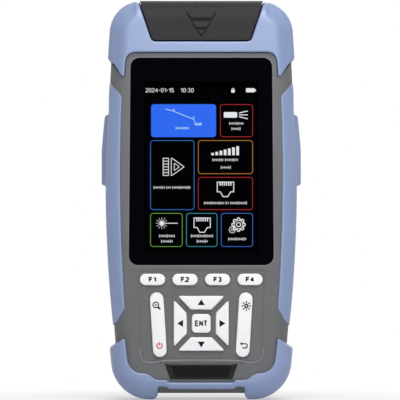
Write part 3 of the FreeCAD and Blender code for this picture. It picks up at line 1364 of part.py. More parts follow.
# the test port: a square flange, a threaded barrel with a key slot and a stem that holds the sleeve
otdr_x, otdr_y = ports["otdr"]
flange_top = floor_top + d.flange_thick
barrel_top = flange_top + d.barrel_tall
stem_low = floor_low - d.stem_deep
sleeve_high = barrel_top - d.sleeve_sink
sleeve_low = sleeve_high - d.sleeve_long
sleeve_outside = d.ferrule_round + d.sleeve_wall
barrel_form = turned("barrel_form", [
    (d.fibre_way, stem_low), (d.barrel_round, stem_low), (d.barrel_round, barrel_top),
    (d.barrel_bore, barrel_top), (d.barrel_bore, floor_top), (d.sleeve_stem, floor_top),
    (d.sleeve_stem, sleeve_high), (sleeve_outside, sleeve_high), (sleeve_outside, sleeve_low),
    (d.fibre_way, sleeve_low)], otdr_x, otdr_y)
flange_half = d.flange_side / 2
flange = column("otdr_flange", (otdr_x - flange_half, otdr_x + flange_half),
                (otdr_y - flange_half, otdr_y + flange_half), (floor_top, flange_top), d.flange_round)
flange_ring = cut("flange_ring", flange, rod("flange_hole", "Z", (otdr_x, otdr_y, floor_top),
                                             d.barrel_bore, d.flange_thick))
cut("otdr_adapter", fuse("adapter_blank", barrel_form, flange_ring),
    box("key_slot", (otdr_x - d.key_slot / 2, otdr_x + d.key_slot / 2),
        (otdr_y - d.barrel_round - d.port_gap, otdr_y - d.sleeve_stem - d.key_slot_gap),
        (barrel_top - d.key_slot, barrel_top + d.port_gap)),
    group("flange_holes", [rod("flange_screw_hole", "Z", (x, y, floor_top), d.small_screw,
                               d.flange_thick) for x, y in flange_screw_places]))
turned("otdr_sleeve", [
    (d.ferrule_round, sleeve_low), (sleeve_outside, sleeve_low), (sleeve_outside, sleeve_high),
    (d.ferrule_round, sleeve_high)], otdr_x, otdr_y)

# the fibre from the laser module up to the test port, with a boot at each end
turned("test_fibre", [
    (ZERO, module_high), (d.boot_round, module_high), (d.fibre_round, module_high + d.boot_long),
    (d.fibre_round, stem_low - d.boot_long), (d.boot_round, stem_low), (ZERO, stem_low)],
    otdr_x, otdr_y)


def ring_port(name, x, y, bore):
    """A small port: a collar above the tray's floor, a round body through it and a straight bore."""
    low, high = floor_low - d.ring_deep, floor_top + d.ring_tall
    return turned(name, [
        (bore, low), (d.ring_round, low), (d.ring_round, floor_top), (d.ring_nut, floor_top),
        (d.ring_nut, high - d.ring_chamfer), (d.ring_nut - d.ring_chamfer, high),
        (bore + d.ring_chamfer, high), (bore, high - d.ring_chamfer)], x, y)


ring_port("vfl_adapter", *ports["vfl"], d.ferrule_round)
ring_port("opm_adapter", *ports["opm"], d.ferrule_round)
ring_low = floor_low - d.ring_deep
for name, port, radius, length in (("vfl_laser", "vfl", d.laser_round, d.laser_long),
                                   ("opm_detector", "opm", d.detector_round, d.detector_long)):
    rod(name, "Z", (*ports[port], ring_low - length), radius, length)

# the network jack: a moulded block with its socket and latch channel, contacts and a metal sleeve
jack_low = jack_top - d.jack_long
jack_middle = (jack_y[0] + jack_y[1]) / 2
inner_x = (jack_x[0] + d.sleeve_sheet, jack_x[1] - d.sleeve_sheet)
inner_y = (jack_y[0] + d.sleeve_sheet, jack_y[1] - d.sleeve_sheet)
socket_y = jack_middle - d.socket_tall / 2 + d.socket_shift
socket_span = (jack_top - d.socket_deep, jack_top)
cut("network_jack", box("jack_block", inner_x, inner_y, (jack_low, jack_top)),
    fuse("jack_socket",
         box("socket", (d.jack_across - d.socket_wide / 2, d.jack_across + d.socket_wide / 2),
             (socket_y, socket_y + d.socket_tall), socket_span),
         box("latch_way", (d.jack_across - d.latch_wide / 2, d.jack_across + d.latch_wide / 2),
             (socket_y - d.latch_tall, socket_y), socket_span)))
cut("jack_shield", box("shield_outside", jack_x, jack_y, (jack_low, jack_top)),
    box("shield_inside", inner_x, inner_y, (jack_low, jack_top)))
contact_back = socket_y + d.socket_tall
contact_places = [d.jack_across + d.contact_pitch * (n - (CONTACTS - 1) / 2) for n in range(CONTACTS)]
group("jack_contacts", [
    box("jack_contact", (x - d.contact_wide / 2, x + d.contact_wide / 2),
        (contact_back - d.contact_proud, contact_back),
        (socket_span[0], jack_top - d.contact_sink)) for x in contact_places])

# the charge socket, its tongue, the torch and the little board under the tray
charge_low = floor_top - d.charge_long


def charge_shape(name, inset, low):
    """The charge socket's outline with round ends, drawn in by `inset`."""
    return column(name, (charge_x[0] + inset, charge_x[1] - inset),
                  (charge_y[0] + inset, charge_y[1] - inset), (low, floor_top),
                  d.charge_tall / 2 - inset - d.charge_flat)


cut("charge_socket", charge_shape("charge_shell", ZERO, charge_low),
    charge_shape("charge_mouth", d.charge_wall, charge_low + d.charge_floor))
box("charge_tongue", (-d.charge_across - d.tongue_wide / 2, d.tongue_wide / 2 - d.charge_across),
    (d.charge_back - d.tongue_thick / 2, d.charge_back + d.tongue_thick / 2),
    (charge_low + d.charge_floor, floor_top - d.tongue_sink))
cut("port_board",
    box("port_board_sheet", (charge_x[0] - d.port_board_rim, d.post_right + d.port_board_rim),
        (d.post_back - d.port_board_half, d.post_back + d.port_board_half),
        (port_board_top - d.board_thick, port_board_top)),
    box("charge_notch", (charge_x[0] - d.port_gap, charge_x[1] + d.port_gap),
        (charge_y[0] - d.port_gap, charge_y[1] + d.port_gap),
        (port_board_top - d.board_thick, port_board_top)),
    group("port_board_holes", [
        rod("port_board_hole", "Z", (x, y, port_board_top - d.board_thick),
            d.board_screw_shank + d.board_hole_gap, d.board_thick) for x, y in post_places]))
torch_low = floor_low - d.torch_flange - d.tray_gap
torch_high = floor_top + d.torch_dome
lens = turned("torch_lens", [
    (ZERO, torch_low), (d.torch_round + d.torch_flange, torch_low),
    (d.torch_round + d.torch_flange, floor_low - d.tray_gap), (d.torch_round, floor_low - d.tray_gap),
    (d.torch_round, torch_high), (ZERO, torch_high)], -d.torch_across, d.torch_back)
soften(lens, d.torch_edge, lies_at_height(torch_high))
led_half = d.led_side / 2
box("torch_led", (-d.torch_across - led_half, led_half - d.torch_across),
    (d.torch_back - led_half, d.torch_back + led_half), (port_board_top, torch_low - d.led_gap))

# --------------------------------------------------------------------------------------------------
# Screws
# --------------------------------------------------------------------------------------------------


def shifted(point, axis, distance):
    """A point (x, y, z) moved along one axis."""
    return [as_size(value) + distance if name == axis else value for name, value in zip("XYZ", point)]


def screw(axis, seat, side, head, shank):
    """A pan-head screw: its head stands on the seat, on the axis's + or - side, and its shank runs
    the other way. Head and shank are each (radius, length)."""
    head_start = seat if side > 0 else shifted(seat, axis, -head[1])
    shank_start = shifted(seat, axis, -shank[1]) if side > 0 else seat
    return fuse("screw", rod("screw_head", axis, head_start, *head),
                rod("screw_shank", axis, shank_start, *shank))


case_shank_long = head_front + d.parting + d.screw_bite
group("case_screws", [
    screw("Y", (x, head_front, z), 1, (d.screw_head, d.screw_head_tall), (d.screw_shank, case_shank_long))
    for x, z in screw_places])
board_head = (d.board_screw_head, d.board_screw_head_tall)
board_shank_long = d.board_thick + d.board_screw_bite - d.screw_tip_gap
post_shank_long = d.board_thick + d.post_bite - d.screw_tip_gap
group("board_screws", [
    *[screw("Y", (x, -main_back, z), 1, board_head, (d.board_screw_shank, board_shank_long))
      for x, z in lower_screws + upper_screws],
    *[screw("Z", (x, y, port_board_top - d.board_thick), -1, board_head,
            (d.board_screw_shank, post_shank_long)) for x, y in post_places]])
flange_shank_long = d.flange_thick + d.tray_floor - d.screw_tip_gap
group("adapter_screws", [
    screw("Z", (x, y, flange_top), 1, (d.small_head, d.small_head_tall), (d.small_screw, flange_shank_long))
    for x, y in flange_screw_places])

# --------------------------------------------------------------------------------------------------
# The folding stand and its pin
# --------------------------------------------------------------------------------------------------

stand_back = d.case_back - d.stand_sink
stand_low = d.stand_pivot - d.stand_long
stand_plate = prism("stand_plate", mirrored([(d.stand_half, stand_low),
                                             (d.stand_half, d.stand_pivot)]),
                    -stand_back, d.stand_thick - stand_back)
soften(stand_plate, d.stand_round, stands_near("Y", (d.stand_half, 0, stand_low),
                                               (-d.stand_half, 0, stand_low)))
drawing = new_sketch(stand_plate, "front", d.stand_thick - stand_back)
draw_circle(drawing, ZERO, stand_low, d.stand_notch)
add_pocket(stand_plate, drawing, d.stand_thick)
cut("stand", fuse("stand_blank", stand_plate,
                  rod("stand_barrel_rod", "X", (-d.stand_half, stand_axis, d.stand_pivot),
                      d.stand_barrel, d.stand_half * 2)),
    rod("stand_bore", "X", (-d.stand_half, stand_axis, d.stand_pivot), d.pin_round + d.pin_gap,
        d.stand_half * 2))
rod("stand_pin", "X", (-pin_half, stand_axis, d.stand_pivot), d.pin_round, pin_half * 2)

# --------------------------------------------------------------------------------------------------
# The files, one for each piece
# --------------------------------------------------------------------------------------------------

PIECES = (
    "front_case", "rear_case", "case_seal", "top_bumper", "left_grip", "right_grip", "bottom_bumper",
    "dust_cover", "display_window", "window_tape", "display_panel", "display_light",
    "display_ribbon", "name_plate", "keypad_mat", "key_board", "key_switches", *push_keys, *rockers,
    "main_board", "board_link", "processor_shields", "laser_module", "fibre_reel", "launch_fibre",
    "test_fibre", "buzzer", "battery_cells", "battery_holder", "battery_contacts", "port_tray",
    "port_board", "otdr_adapter", "otdr_sleeve", "vfl_adapter", "vfl_laser", "opm_adapter",
    "opm_detector", "network_jack", "jack_shield", "jack_contacts", "charge_socket",
    "charge_tongue", "torch_lens", "torch_led", "case_screws", "board_screws", "adapter_screws",
    "stand", "stand_pin")

doc.recompute()
for thing in doc.Objects:
    if {"Invalid", "Error"} & set(thing.State):
        raise RuntimeError(f"{thing.Name} failed: {thing.State}")
for name in PIECES:
    piece = doc.getObject(name)
    if piece.Shape.isNull() or not piece.Shape.isValid() or not piece.Shape.Solids:
        raise RuntimeError(f"{name} has no sound shape")
os.makedirs("parts", exist_ok=True)
for name in PIECES:
    piece = doc.getObject(name)
    piece.Label = name
    piece.Shape.exportStep(f"parts/{name}.step")
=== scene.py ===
# %% [markdown]
# # A pocket tester for optical fibre
# The object is a hand-held instrument as tall as a hand is long: a grey plastic case in blue rubber,
# with a screen, nine keys, two rockers and a flap over its sockets. Its solid parts come ready made
# as the frame, each in its place in metres, so this lesson dresses them and never moves them.

# %% Load the frame
import math
import bmesh
import bpy
import numpy as np
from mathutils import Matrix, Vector


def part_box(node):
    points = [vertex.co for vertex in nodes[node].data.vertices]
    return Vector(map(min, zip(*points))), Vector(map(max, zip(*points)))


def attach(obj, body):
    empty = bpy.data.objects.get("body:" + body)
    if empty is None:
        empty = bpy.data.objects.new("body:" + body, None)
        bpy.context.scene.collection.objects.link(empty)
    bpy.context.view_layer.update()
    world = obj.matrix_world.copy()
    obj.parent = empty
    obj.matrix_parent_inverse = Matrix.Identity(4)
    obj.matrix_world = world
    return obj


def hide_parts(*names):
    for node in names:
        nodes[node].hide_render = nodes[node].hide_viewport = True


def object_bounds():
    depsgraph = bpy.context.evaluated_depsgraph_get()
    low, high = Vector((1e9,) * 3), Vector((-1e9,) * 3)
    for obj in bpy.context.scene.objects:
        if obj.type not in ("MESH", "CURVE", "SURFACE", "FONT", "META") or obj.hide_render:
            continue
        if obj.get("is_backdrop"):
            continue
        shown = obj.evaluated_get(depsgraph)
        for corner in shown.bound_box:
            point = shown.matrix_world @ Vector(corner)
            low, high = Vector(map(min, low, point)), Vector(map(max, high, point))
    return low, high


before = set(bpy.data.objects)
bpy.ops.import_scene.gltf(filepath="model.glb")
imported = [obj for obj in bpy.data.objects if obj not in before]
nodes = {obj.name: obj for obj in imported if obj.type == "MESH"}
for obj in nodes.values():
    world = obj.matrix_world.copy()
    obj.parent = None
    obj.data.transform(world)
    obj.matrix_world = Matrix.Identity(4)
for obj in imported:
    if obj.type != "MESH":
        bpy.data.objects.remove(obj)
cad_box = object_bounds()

# %% [markdown]
# Everything is drawn as a maker would draw it from the front: x to the right, z up, and the distance
# to the front, which is minus y. The sizes below are in millimetres, and one number turns them
# into the metres of the frame.

# %% The drawing's units
MM = 0.001


def sizes_of(node):
    """The lowest and highest corners of a node in millimetres, as two arrays."""
    low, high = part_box(node)
    return np.array(low) / MM, np.array(high) / MM


def front_of(node):
    """The distance to the front of a node's foremost point."""
    return -sizes_of(node)[0][1]


rubber_top = sizes_of("top_bumper")[1][2]
case_front = front_of("front_case")
print("The top bumper reaches", round(rubber_top, 1), "mm up")

# %% [markdown]
# A grid of points is the simplest way to tell a computer about a surface. Rows and columns of
# points are worked out as whole arrays, and each point is joined to its neighbours by a square.
# Where a grid closes on itself or runs to a pole its points repeat, and merging them closes the
# seam. Every new piece below is made of such grids: a closed shell, or a thin sheet that is only
# seen from the front.

# %% From grids of points to a piece
MERGE = 1e-7


def grid_faces(rows, columns):
    """Squares between neighbouring points: (i, j), (i+1, j), (i+1, j+1), (i, j+1)."""
    index = np.arange(rows * columns).reshape(rows, columns)
    corners = [index[:-1, :-1], index[1:, :-1], index[1:, 1:], index[:-1, 1:]]
    return np.stack(corners, axis=-1).reshape(-1, 4)


def mend(mesh, distance=MERGE, outward=False):
    """Merges points that lie closer than a distance, and can turn the faces of shells outwards."""
    work = bmesh.new()
    work.from_mesh(mesh)
    bmesh.ops.remove_doubles(work, verts=work.verts, dist=distance)
    bmesh.ops.dissolve_degenerate(work, edges=work.edges, dist=MERGE)
    if outward:
        bmesh.ops.recalc_face_normals(work, faces=work.faces)
    work.to_mesh(mesh)
    work.free()
    return mesh


def mesh_of(name, grids, outward=False):
    """One mesh from several grids, each an array of rows by columns by (x, y, z) in millimetres."""
    points = np.concatenate([grid.reshape(-1, 3) for grid in grids]) * MM
    starts = np.cumsum([0] + [grid.shape[0] * grid.shape[1] for grid in grids])
    faces = np.concatenate([grid_faces(*grid.shape[:2]) + start for grid, start in zip(grids, starts)])
    mesh = bpy.data.meshes.new(name)
    mesh.from_pydata(points.tolist(), [], faces.tolist())
    return mend(mesh, outward=outward)


def piece(name, mesh, body, slot, material, crease=35):
    """An object for a mesh: it rides on a body and is smooth below the crease angle. slot is not used."""
    item = bpy.data.objects.new(name, mesh)
    bpy.context.scene.collection.objects.link(item)
    mesh.materials.append(material)
    mesh.shade_smooth()
    mesh.set_sharp_from_angle(angle=math.radians(crease))
    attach(item, body)
    print(name, "has", len(mesh.polygons), "faces")
    return item


def facing_front(grid):
    """The same grid with its columns reversed if its squares face the back. The sum of the cross
    products of the squares' diagonals tells which way they face."""
    a = grid[1:, 1:] - grid[:-1, :-1]
    b = grid[:-1, 1:] - grid[1:, :-1]
    return grid[:, ::-1] if np.cross(a, b)[..., 1].sum() > 0 else grid


def shell(name, grids, *rest):
    """A piece of closed shells. rest is what piece() takes after the mesh."""
    return piece(name, mesh_of(name, grids, outward=True), *rest)


def sheet(name, grids, *rest):
    """A piece of open sheets that face the front. rest is what piece() takes after the mesh."""
    return piece(name, mesh_of(name, [facing_front(grid) for grid in grids]), *rest)


# %% [markdown]
# Most outlines on the instrument are shapes with rounded corners: keys, tiles on the screen, raised
# borders. Such a shape is a small inner polygon with an arrow of constant length at each corner
# that swings round. Keeping the polygon and changing the length of the arrow insets the outline
# evenly, which is what a rounded edge or a border needs.

# %% Outlines with rounded corners
def circle(degrees):
    """The direction of each angle as (cosine, sine)."""
    angle = np.radians(degrees)
    return np.stack([np.cos(angle), np.sin(angle)], -1)


def rounded(corners, radius, steps=7):
    """An outline as a function of its inset: corner core plus (radius minus inset) times a direction
    that swings from one side's normal to the next. Corners run anticlockwise."""
    corners = np.asarray(corners, float)
    radius = np.broadcast_to(np.asarray(radius, float), len(corners))
    along = np.roll(corners, -1, 0) - corners
    along = along / np.linalg.norm(along, axis=1)[:, None]
    after = np.stack([along[:, 1], -along[:, 0]], 1)
    before = np.roll(after, 1, 0)
    core = corners - (radius / (1 + (before * after).sum(1)))[:, None] * (before + after)
    start = np.arctan2(before[:, 1], before[:, 0])
    turn = np.arctan2(before[:, 0] * after[:, 1] - before[:, 1] * after[:, 0], (before * after).sum(1))
    angle = (start[:, None] + turn[:, None] * np.linspace(0, 1, steps)).reshape(-1)
    arrow = np.stack([np.cos(angle), np.sin(angle)], 1)
    core, length = np.repeat(core, steps, 0), np.repeat(radius, steps)
    return lambda inset=0.0: core + (length - inset)[:, None] * arrow


def trapezoid(low_half, low, high_half, high):
    """Four corners from half widths and heights, anticlockwise from the lower left."""
    return np.array([(-low_half, low), (low_half, low), (high_half, high), (-high_half, high)], float)


def box_corners(x0, z0, x1, z1):
    """The four corners of an upright box, anticlockwise from the lower left."""
    return np.array([(x0, z0), (x1, z0), (x1, z1), (x0, z1)], float)


def turned(points, centre, degrees):
    """Points turned anticlockwise about a centre."""
    c, s = math.cos(math.radians(degrees)), math.sin(math.radians(degrees))
    return (np.asarray(points, float) - centre) @ np.array([(c, s), (-s, c)]) + centre


def ring(radius, centre=(0, 0), steps=48):
    """A circle as a function of its inset."""
    arrow = circle(np.linspace(0, 360, steps, endpoint=False))
    return lambda inset=0.0: np.asarray(centre, float) + (radius - inset) * arrow


def arc(centre, radius, start, end, steps=24):
    """Points along part of a circle, from a start angle to an end angle in degrees."""
    return np.asarray(centre, float) + radius * circle(np.linspace(start, end, steps))


def closed(points):
    """The points with the first one repeated at the end."""
    return np.concatenate([points, points[:1]])


def upright(flat, front):
    """Flat (x, z) points as (x, y, z), where front is their distance to the front."""
    flat = np.asarray(flat, float)
    depth = np.broadcast_to(-np.asarray(front, float), flat.shape[:-1])
    return np.stack([flat[..., 0], depth, flat[..., 1]], -1)


def stacked(rings):
    """Closed rings of equally many points as one grid that runs from ring to ring."""
    return closed(np.stack(rings).swapaxes(0, 1))


print("A rounded square of side 2 has", len(rounded(box_corners(0, 0, 2, 2), 0.5)()), "points")

# %% [markdown]
# Printed marks are the next need: lines, discs and filled shapes with no visible thickness. A line
# is a strip, which is its path pushed half a width to each side. A border is the strip between
# an outline and the same outline inset. A filled shape runs from its outline to its middle.

# %% Flat marks
SHARPEST_MITRE = 0.3


def strip(path, width, loop=False):
    """A strip along a path: each point is pushed half the width to both sides along the mitre."""
    path = np.asarray(path, float)
    if loop:
        path = closed(path)
    step = np.diff(path, axis=0)
    step = step / np.linalg.norm(step, axis=1)[:, None]
    first, last = (step[-1:], step[:1]) if loop else (step[:1], step[-1:])
    both = np.concatenate([first, step]) + np.concatenate([step, last])
    side = np.stack([-both[:, 1], both[:, 0]], 1)
    side = side / np.maximum((side * side).sum(1) / 2, SHARPEST_MITRE)[:, None]
    return np.stack([path + side * width / 2, path - side * width / 2])


def lines(width, *paths):
    """A strip for each path, all of one width."""
    return [strip(path, width) for path in paths]


def border(outline, width):
    """The strip between an outline and the same outline inset by a width."""
    return np.stack([closed(outline(0.0)), closed(outline(width))])


def filled(points):
    """A closed outline joined to its middle. It suits shapes whose middle sees the whole outline."""
    points = closed(np.asarray(points, float))
    return np.stack([points, np.broadcast_to(points[:-1].mean(0), points.shape)])


def disc(centre, radius, steps=32):
    """A filled circle."""
    return filled(ring(radius, centre, steps)())


def rays(inner, outer, count, width):
    """Short strips that point away from the middle, evenly round it."""
    arrows = circle(np.arange(count) * 360 / count)
    return lines(width, *([inner * arrow, outer * arrow] for arrow in arrows))


def placed(marks, x, z, size=1.0):
    """Marks that were drawn round (0, 0), enlarged and moved to (x, z)."""
    return [mark * size + (x, z) for mark in marks]


def printed(name, marks, front, body, slot, material):
    """A piece of flat marks. front is a distance, or a function of x and z that follows a crown."""
    level = front if callable(front) else lambda x, z: front
    grids = [upright(mark, level(mark[..., 0], mark[..., 1])) for mark in marks]
    return sheet(name, grids, body, slot, material)


print("A disc is", disc((0, 0), 1).shape[1] - 1, "thin slices")

# %% [markdown]
# Moulded plastic and rubber look real through three small things: the colour drifts a little over a
# hand's breadth, the gloss is broken by a grain, and the same grain tilts the light. One recipe of
# noise does all three. It reads object coordinates, so the grain keeps its size on every piece.

# %% A recipe for finishes
ROUGH_SPREAD, BUMP_STRENGTH = 0.12, 0.5


def feed(tree, socket, value):
    """Links another node's result to a socket, or sets a plain value there."""
    if isinstance(value, bpy.types.NodeSocket):
        tree.links.new(value, socket)
    else:
        socket.default_value = value


def fill_in(tree, node, **values):
    """Feeds the inputs of a node by their names. Any other name is a setting of the node."""
    for name, value in values.items():
        socket = node.inputs.get(name.replace("_", " "))
        if socket is None:
            setattr(node, name, value)
        else:
            feed(tree, socket, value)
    return node


def add_node(tree, kind, **values):
    """A new shader node with its inputs and settings."""
    return fill_in(tree, tree.nodes.new(kind), **values)


def maths(tree, operation, *values):
    """The result of a Math node whose inputs, in turn, are numbers or other nodes' results."""
    node = add_node(tree, "ShaderNodeMath", operation=operation)
    for socket, value in zip(node.inputs, values):
        feed(tree, socket, value)
    return node.outputs[0]


def scaled(tree, value, low, high, **ends):
    """A value between 0 and 1, or between two given ends, moved to between low and high."""
    node = add_node(tree, "ShaderNodeMapRange", Value=value, To_Min=low, To_Max=high, **ends)
    return node.outputs["Result"]


def new_finish(name):
    """A new material with its node tree, its main shader and the object coordinates."""
    made = bpy.data.materials.new(name)
    made.use_nodes = True
    tree = made.node_tree
    return made, tree, tree.nodes["Principled BSDF"], add_node(tree, "ShaderNodeTexCoord").outputs["Object"]


def finish(name, colour, rough, grain=0.35, depth=0.012, drift=0.05, patch=9, metallic=0.0, shine=0.5):
    """A finish from noise. grain and patch are the sizes of the small and the large pattern in mm,
    depth is the height of the grain in mm, and drift is the share by which the colour varies."""
    made, tree, shader, place = new_finish(name)
    small, large = (add_node(tree, "ShaderNodeTexNoise", Vector=place, Scale=1 / (size * MM), Detail=detail)
                    .outputs["Fac"] for size, detail in ((grain, 2.0), (patch, 3.0)))
    tone = add_node(tree, "ShaderNodeValToRGB", Fac=large)
    for stop, share, at in zip(tone.color_ramp.elements, (1 - drift, 1 + drift), (0.3, 0.7)):
        stop.position = at
        stop.color = (*(min(1.0, c * share) for c in colour), 1)
    bump = add_node(tree, "ShaderNodeBump", Height=small, Strength=BUMP_STRENGTH, Distance=depth * MM)
    rough = scaled(tree, small, rough * (1 - ROUGH_SPREAD), min(1.0, rough * (1 + ROUGH_SPREAD)))
    fill_in(tree, shader, Base_Color=tone.outputs["Color"], Roughness=rough, Normal=bump.outputs["Normal"],
            Metallic=metallic, Specular_IOR_Level=shine)
    return made


RUBBER_BLUE = (0.208, 0.279, 0.482)
CASE_GREY = (0.124, 0.126, 0.132)
rubber_finish = finish("soft_blue_rubber", RUBBER_BLUE, 0.42, grain=0.3, depth=0.01, drift=0.03, patch=30,
                       shine=1.0)
case_finish = finish("grained_grey_case", CASE_GREY, 0.5, grain=0.45, depth=0.03, drift=0.04, patch=14,
                     shine=0.4)
cover_finish = finish("dark_flap_rubber", (0.028, 0.028, 0.0295), 0.6, grain=0.3, depth=0.014, drift=0.06,
                      patch=20, shine=0.14)
stand_finish = finish("grained_stand", (0.12, 0.12, 0.126), 0.5, grain=0.4, depth=0.03, shine=0.4)
key_finish = finish("satin_white_key", (0.895, 0.9, 0.915), 0.38, grain=0.6, depth=0.003, drift=0.012,
                    patch=8, shine=0.45)
print("The rubber's blue is", RUBBER_BLUE)

# %% [markdown]
# Each node already names the slot its finish belongs to. A table from slot to finish dresses all
# the solid parts at once, also those that only show when the flap or a port is open: tinned
# shields, nickel barrels, gold contacts and the yellow fibre.

# %% Dress the solid parts
metal = {"metallic": 1.0, "drift": 0.08, "shine": 0.5}
slot_finishes = {
    "case_grey": case_finish,
    "rubber_blue": rubber_finish,
    "cover_black": cover_finish,
    "stand_grey": stand_finish,
    "key_white": key_finish,
    "tape_black": finish("foam_tape", (0.012, 0.012, 0.013), 0.9, grain=0.2, depth=0.03),
    "panel_glass": finish("dark_panel_glass", (0.0009, 0.001, 0.0014), 0.3, grain=0.8, depth=0.001,
                          shine=0.0),
    "light_white": finish("white_light_box", (0.7, 0.7, 0.72), 0.5),
    "ribbon_amber": finish("amber_ribbon", (0.4, 0.16, 0.02), 0.35, grain=0.5, depth=0.004, patch=3),
    "plate_black": finish("glossy_black_plate", (0.006, 0.006, 0.008), 0.16, grain=1.2, depth=0.002, patch=6,
                          shine=0.06),
    "mat_grey": finish("silicone_mat", (0.25, 0.25, 0.25), 0.6, depth=0.01),
    "board_green": finish("green_solder_mask", (0.015, 0.13, 0.05), 0.35, grain=0.7, depth=0.01, drift=0.15,
                          patch=3),
    "switch_black": finish("switch_plastic", (0.02, 0.02, 0.021), 0.45),
    "shield_tin": finish("tinned_sheet", (0.62, 0.62, 0.64), 0.32, grain=0.6, patch=4, **metal),
    "module_metal": finish("cast_module", (0.5, 0.5, 0.52), 0.4, grain=0.5, patch=5, **metal),
    "reel_black": finish("reel_plastic", (0.03, 0.03, 0.031), 0.5),
    "fibre_yellow": finish("yellow_fibre", (0.8, 0.55, 0.03), 0.35, grain=0.3, depth=0.005),
    "cell_sleeve": finish("green_cell_sleeve", (0.03, 0.22, 0.09), 0.3, grain=0.8, depth=0.004, drift=0.1),
    "contact_nickel": finish("contact_nickel", (0.66, 0.62, 0.55), 0.28, patch=3, **metal),
    "tray_black": finish("socket_tray", (0.028, 0.028, 0.03), 0.55, grain=0.4, depth=0.02),
    "port_nickel": finish("port_nickel", (0.66, 0.65, 0.62), 0.24, grain=0.4, depth=0.004, patch=3, **metal),
    "ceramic_white": finish("white_ceramic", (0.82, 0.8, 0.75), 0.18, grain=0.6, depth=0.001),
    "jack_black": finish("jack_plastic", (0.02, 0.02, 0.022), 0.3, depth=0.006),
    "contact_gold": finish("gold_contacts", (0.83, 0.55, 0.17), 0.25, patch=2, **metal),
    "led_yellow": finish("yellow_phosphor", (0.8, 0.66, 0.1), 0.5, grain=0.15, depth=0.01),
    "screw_black": finish("black_oxide", (0.06, 0.06, 0.062), 0.38, grain=0.3, patch=2, **metal),
    "screw_steel": finish("plain_steel", (0.52, 0.52, 0.53), 0.3, grain=0.3, patch=2, **metal),
    "lens_clear": finish("clear_lens", (0.9, 0.92, 0.95), 0.08, grain=0.8, depth=0.002, drift=0.01),
}
lens_shader = slot_finishes["lens_clear"].node_tree.nodes["Principled BSDF"]
lens_shader.inputs["Transmission Weight"].default_value = 1.0
for node in nodes.values():
    slot = node.data.materials[0].name.split(".")[0]
    node.material_slots[0].link = "OBJECT"
    node.material_slots[0].material = slot_finishes.get(slot)
print(len(slot_finishes), "finishes for", len(nodes), "solid parts")

# %% [markdown]
# The window is one pane of glass, printed black from behind except over the screen. In the clear
# part it lets the eye through and only keeps a thin reflection. The print's edge is a box in object
# coordinates, so the same pane can be black glass and clear glass without being cut.

# %% The printed window
LIT_HALF, LIT_SIDE, LIT_MIDDLE = 24.48, 36.72, 100.1
CLEAR_ALPHA, PRINT_SOFT = 0.06, 0.15


def window_print():
    """Black glass whose alpha falls to a thin reflection inside the lit box. The distance outside
    the box is the larger of |x| and |z - middle| less the half sides."""
    made = finish("printed_window", (0.0015, 0.0016, 0.003), 0.07, grain=1.5, depth=0.0, patch=20, shine=0.0)
    tree = made.node_tree
    place = add_node(tree, "ShaderNodeTexCoord").outputs["Object"]
    place = add_node(tree, "ShaderNodeSeparateXYZ", Vector=place).outputs
    beyond = []
    for axis, middle, half in (("X", 0.0, LIT_HALF), ("Z", LIT_MIDDLE, LIT_SIDE)):
        off = maths(tree, "ABSOLUTE", maths(tree, "SUBTRACT", place[axis], middle * MM))
        beyond.append(maths(tree, "SUBTRACT", off, half * MM))
    cover = scaled(tree, maths(tree, "MAXIMUM", *beyond), CLEAR_ALPHA, 1.0, From_Max=PRINT_SOFT * MM)
    fill_in(tree, tree.nodes["Principled BSDF"], Alpha=cover)
    return made


nodes["display_window"].material_slots[0].material = window_print()
print("The clear part is", 2 * LIT_HALF, "by", 2 * LIT_SIDE, "mm")

# %% [markdown]
# The lit picture lies on the front of the screen's panel, a little behind the glass: eight tiles
# with rounded corners, each with a simple sign and a row or two of ticks, and a line with the date
# and time above them. It is drawn with the flat marks from before. Every piece of it has one colour
# and glows about as strongly as a lit wall, with the faint grid that the dots of a screen make.

# %% The glow of the screen
DOT, BAND_PER_DOT, DOT_DIM, DOT_BRIGHT = 0.153, 0.314, 0.9, 1.05
PICTURE_LIFT = 0.03
screen_front = front_of("display_panel") + PICTURE_LIFT


def glow(name, colour):
    """A glowing finish. Two crossed bands as fine as the screen's dots dim it by a few percent."""
    made, tree, shader, place = new_finish("glow_" + name)
    bands = []
    for axis in ("X", "Z"):
        band = add_node(tree, "ShaderNodeTexWave", Vector=place, Scale=BAND_PER_DOT / (DOT * MM),
                        bands_direction=axis)
        bands.append(scaled(tree, band.outputs["Fac"], DOT_DIM, DOT_BRIGHT))
    lit = add_node(tree, "ShaderNodeVectorMath", operation="SCALE", Vector=colour,
                   Scale=maths(tree, "MULTIPLY", *bands))
    fill_in(tree, shader, Emission_Color=lit.outputs["Vector"], Emission_Strength=1.0,
            Base_Color=(0.01, 0.01, 0.01, 1), Roughness=0.4, Specular_IOR_Level=0.1)
    return made


glows = {name: glow(name, colour) for name, colour in (
    ("white", (0.9, 0.92, 0.95)), ("blue", (0.012, 0.145, 1.0)), ("pale", (0.5, 0.84, 1.0)),
    ("red", (0.36, 0.002, 0.013)), ("azure", (0.008, 0.14, 0.52)), ("orange", (0.41, 0.15, 0.006)),
    ("green", (0.115, 0.31, 0.038)), ("teal", (0.025, 0.26, 0.32)), ("deep_blue", (0.026, 0.12, 0.5)),
    ("grey", (0.72, 0.73, 0.76)))}
print("The picture lies", round(screen_front, 2), "mm to the front and glows in", len(glows), "colours")

# %% [markdown]
# The tiles stand in rows, with one taller tile at the left. The first tile is filled and carries
# the falling trace by which such an instrument is known: a bright start, a long even slope, a few
# steps and spikes, and noise where the fibre ends.

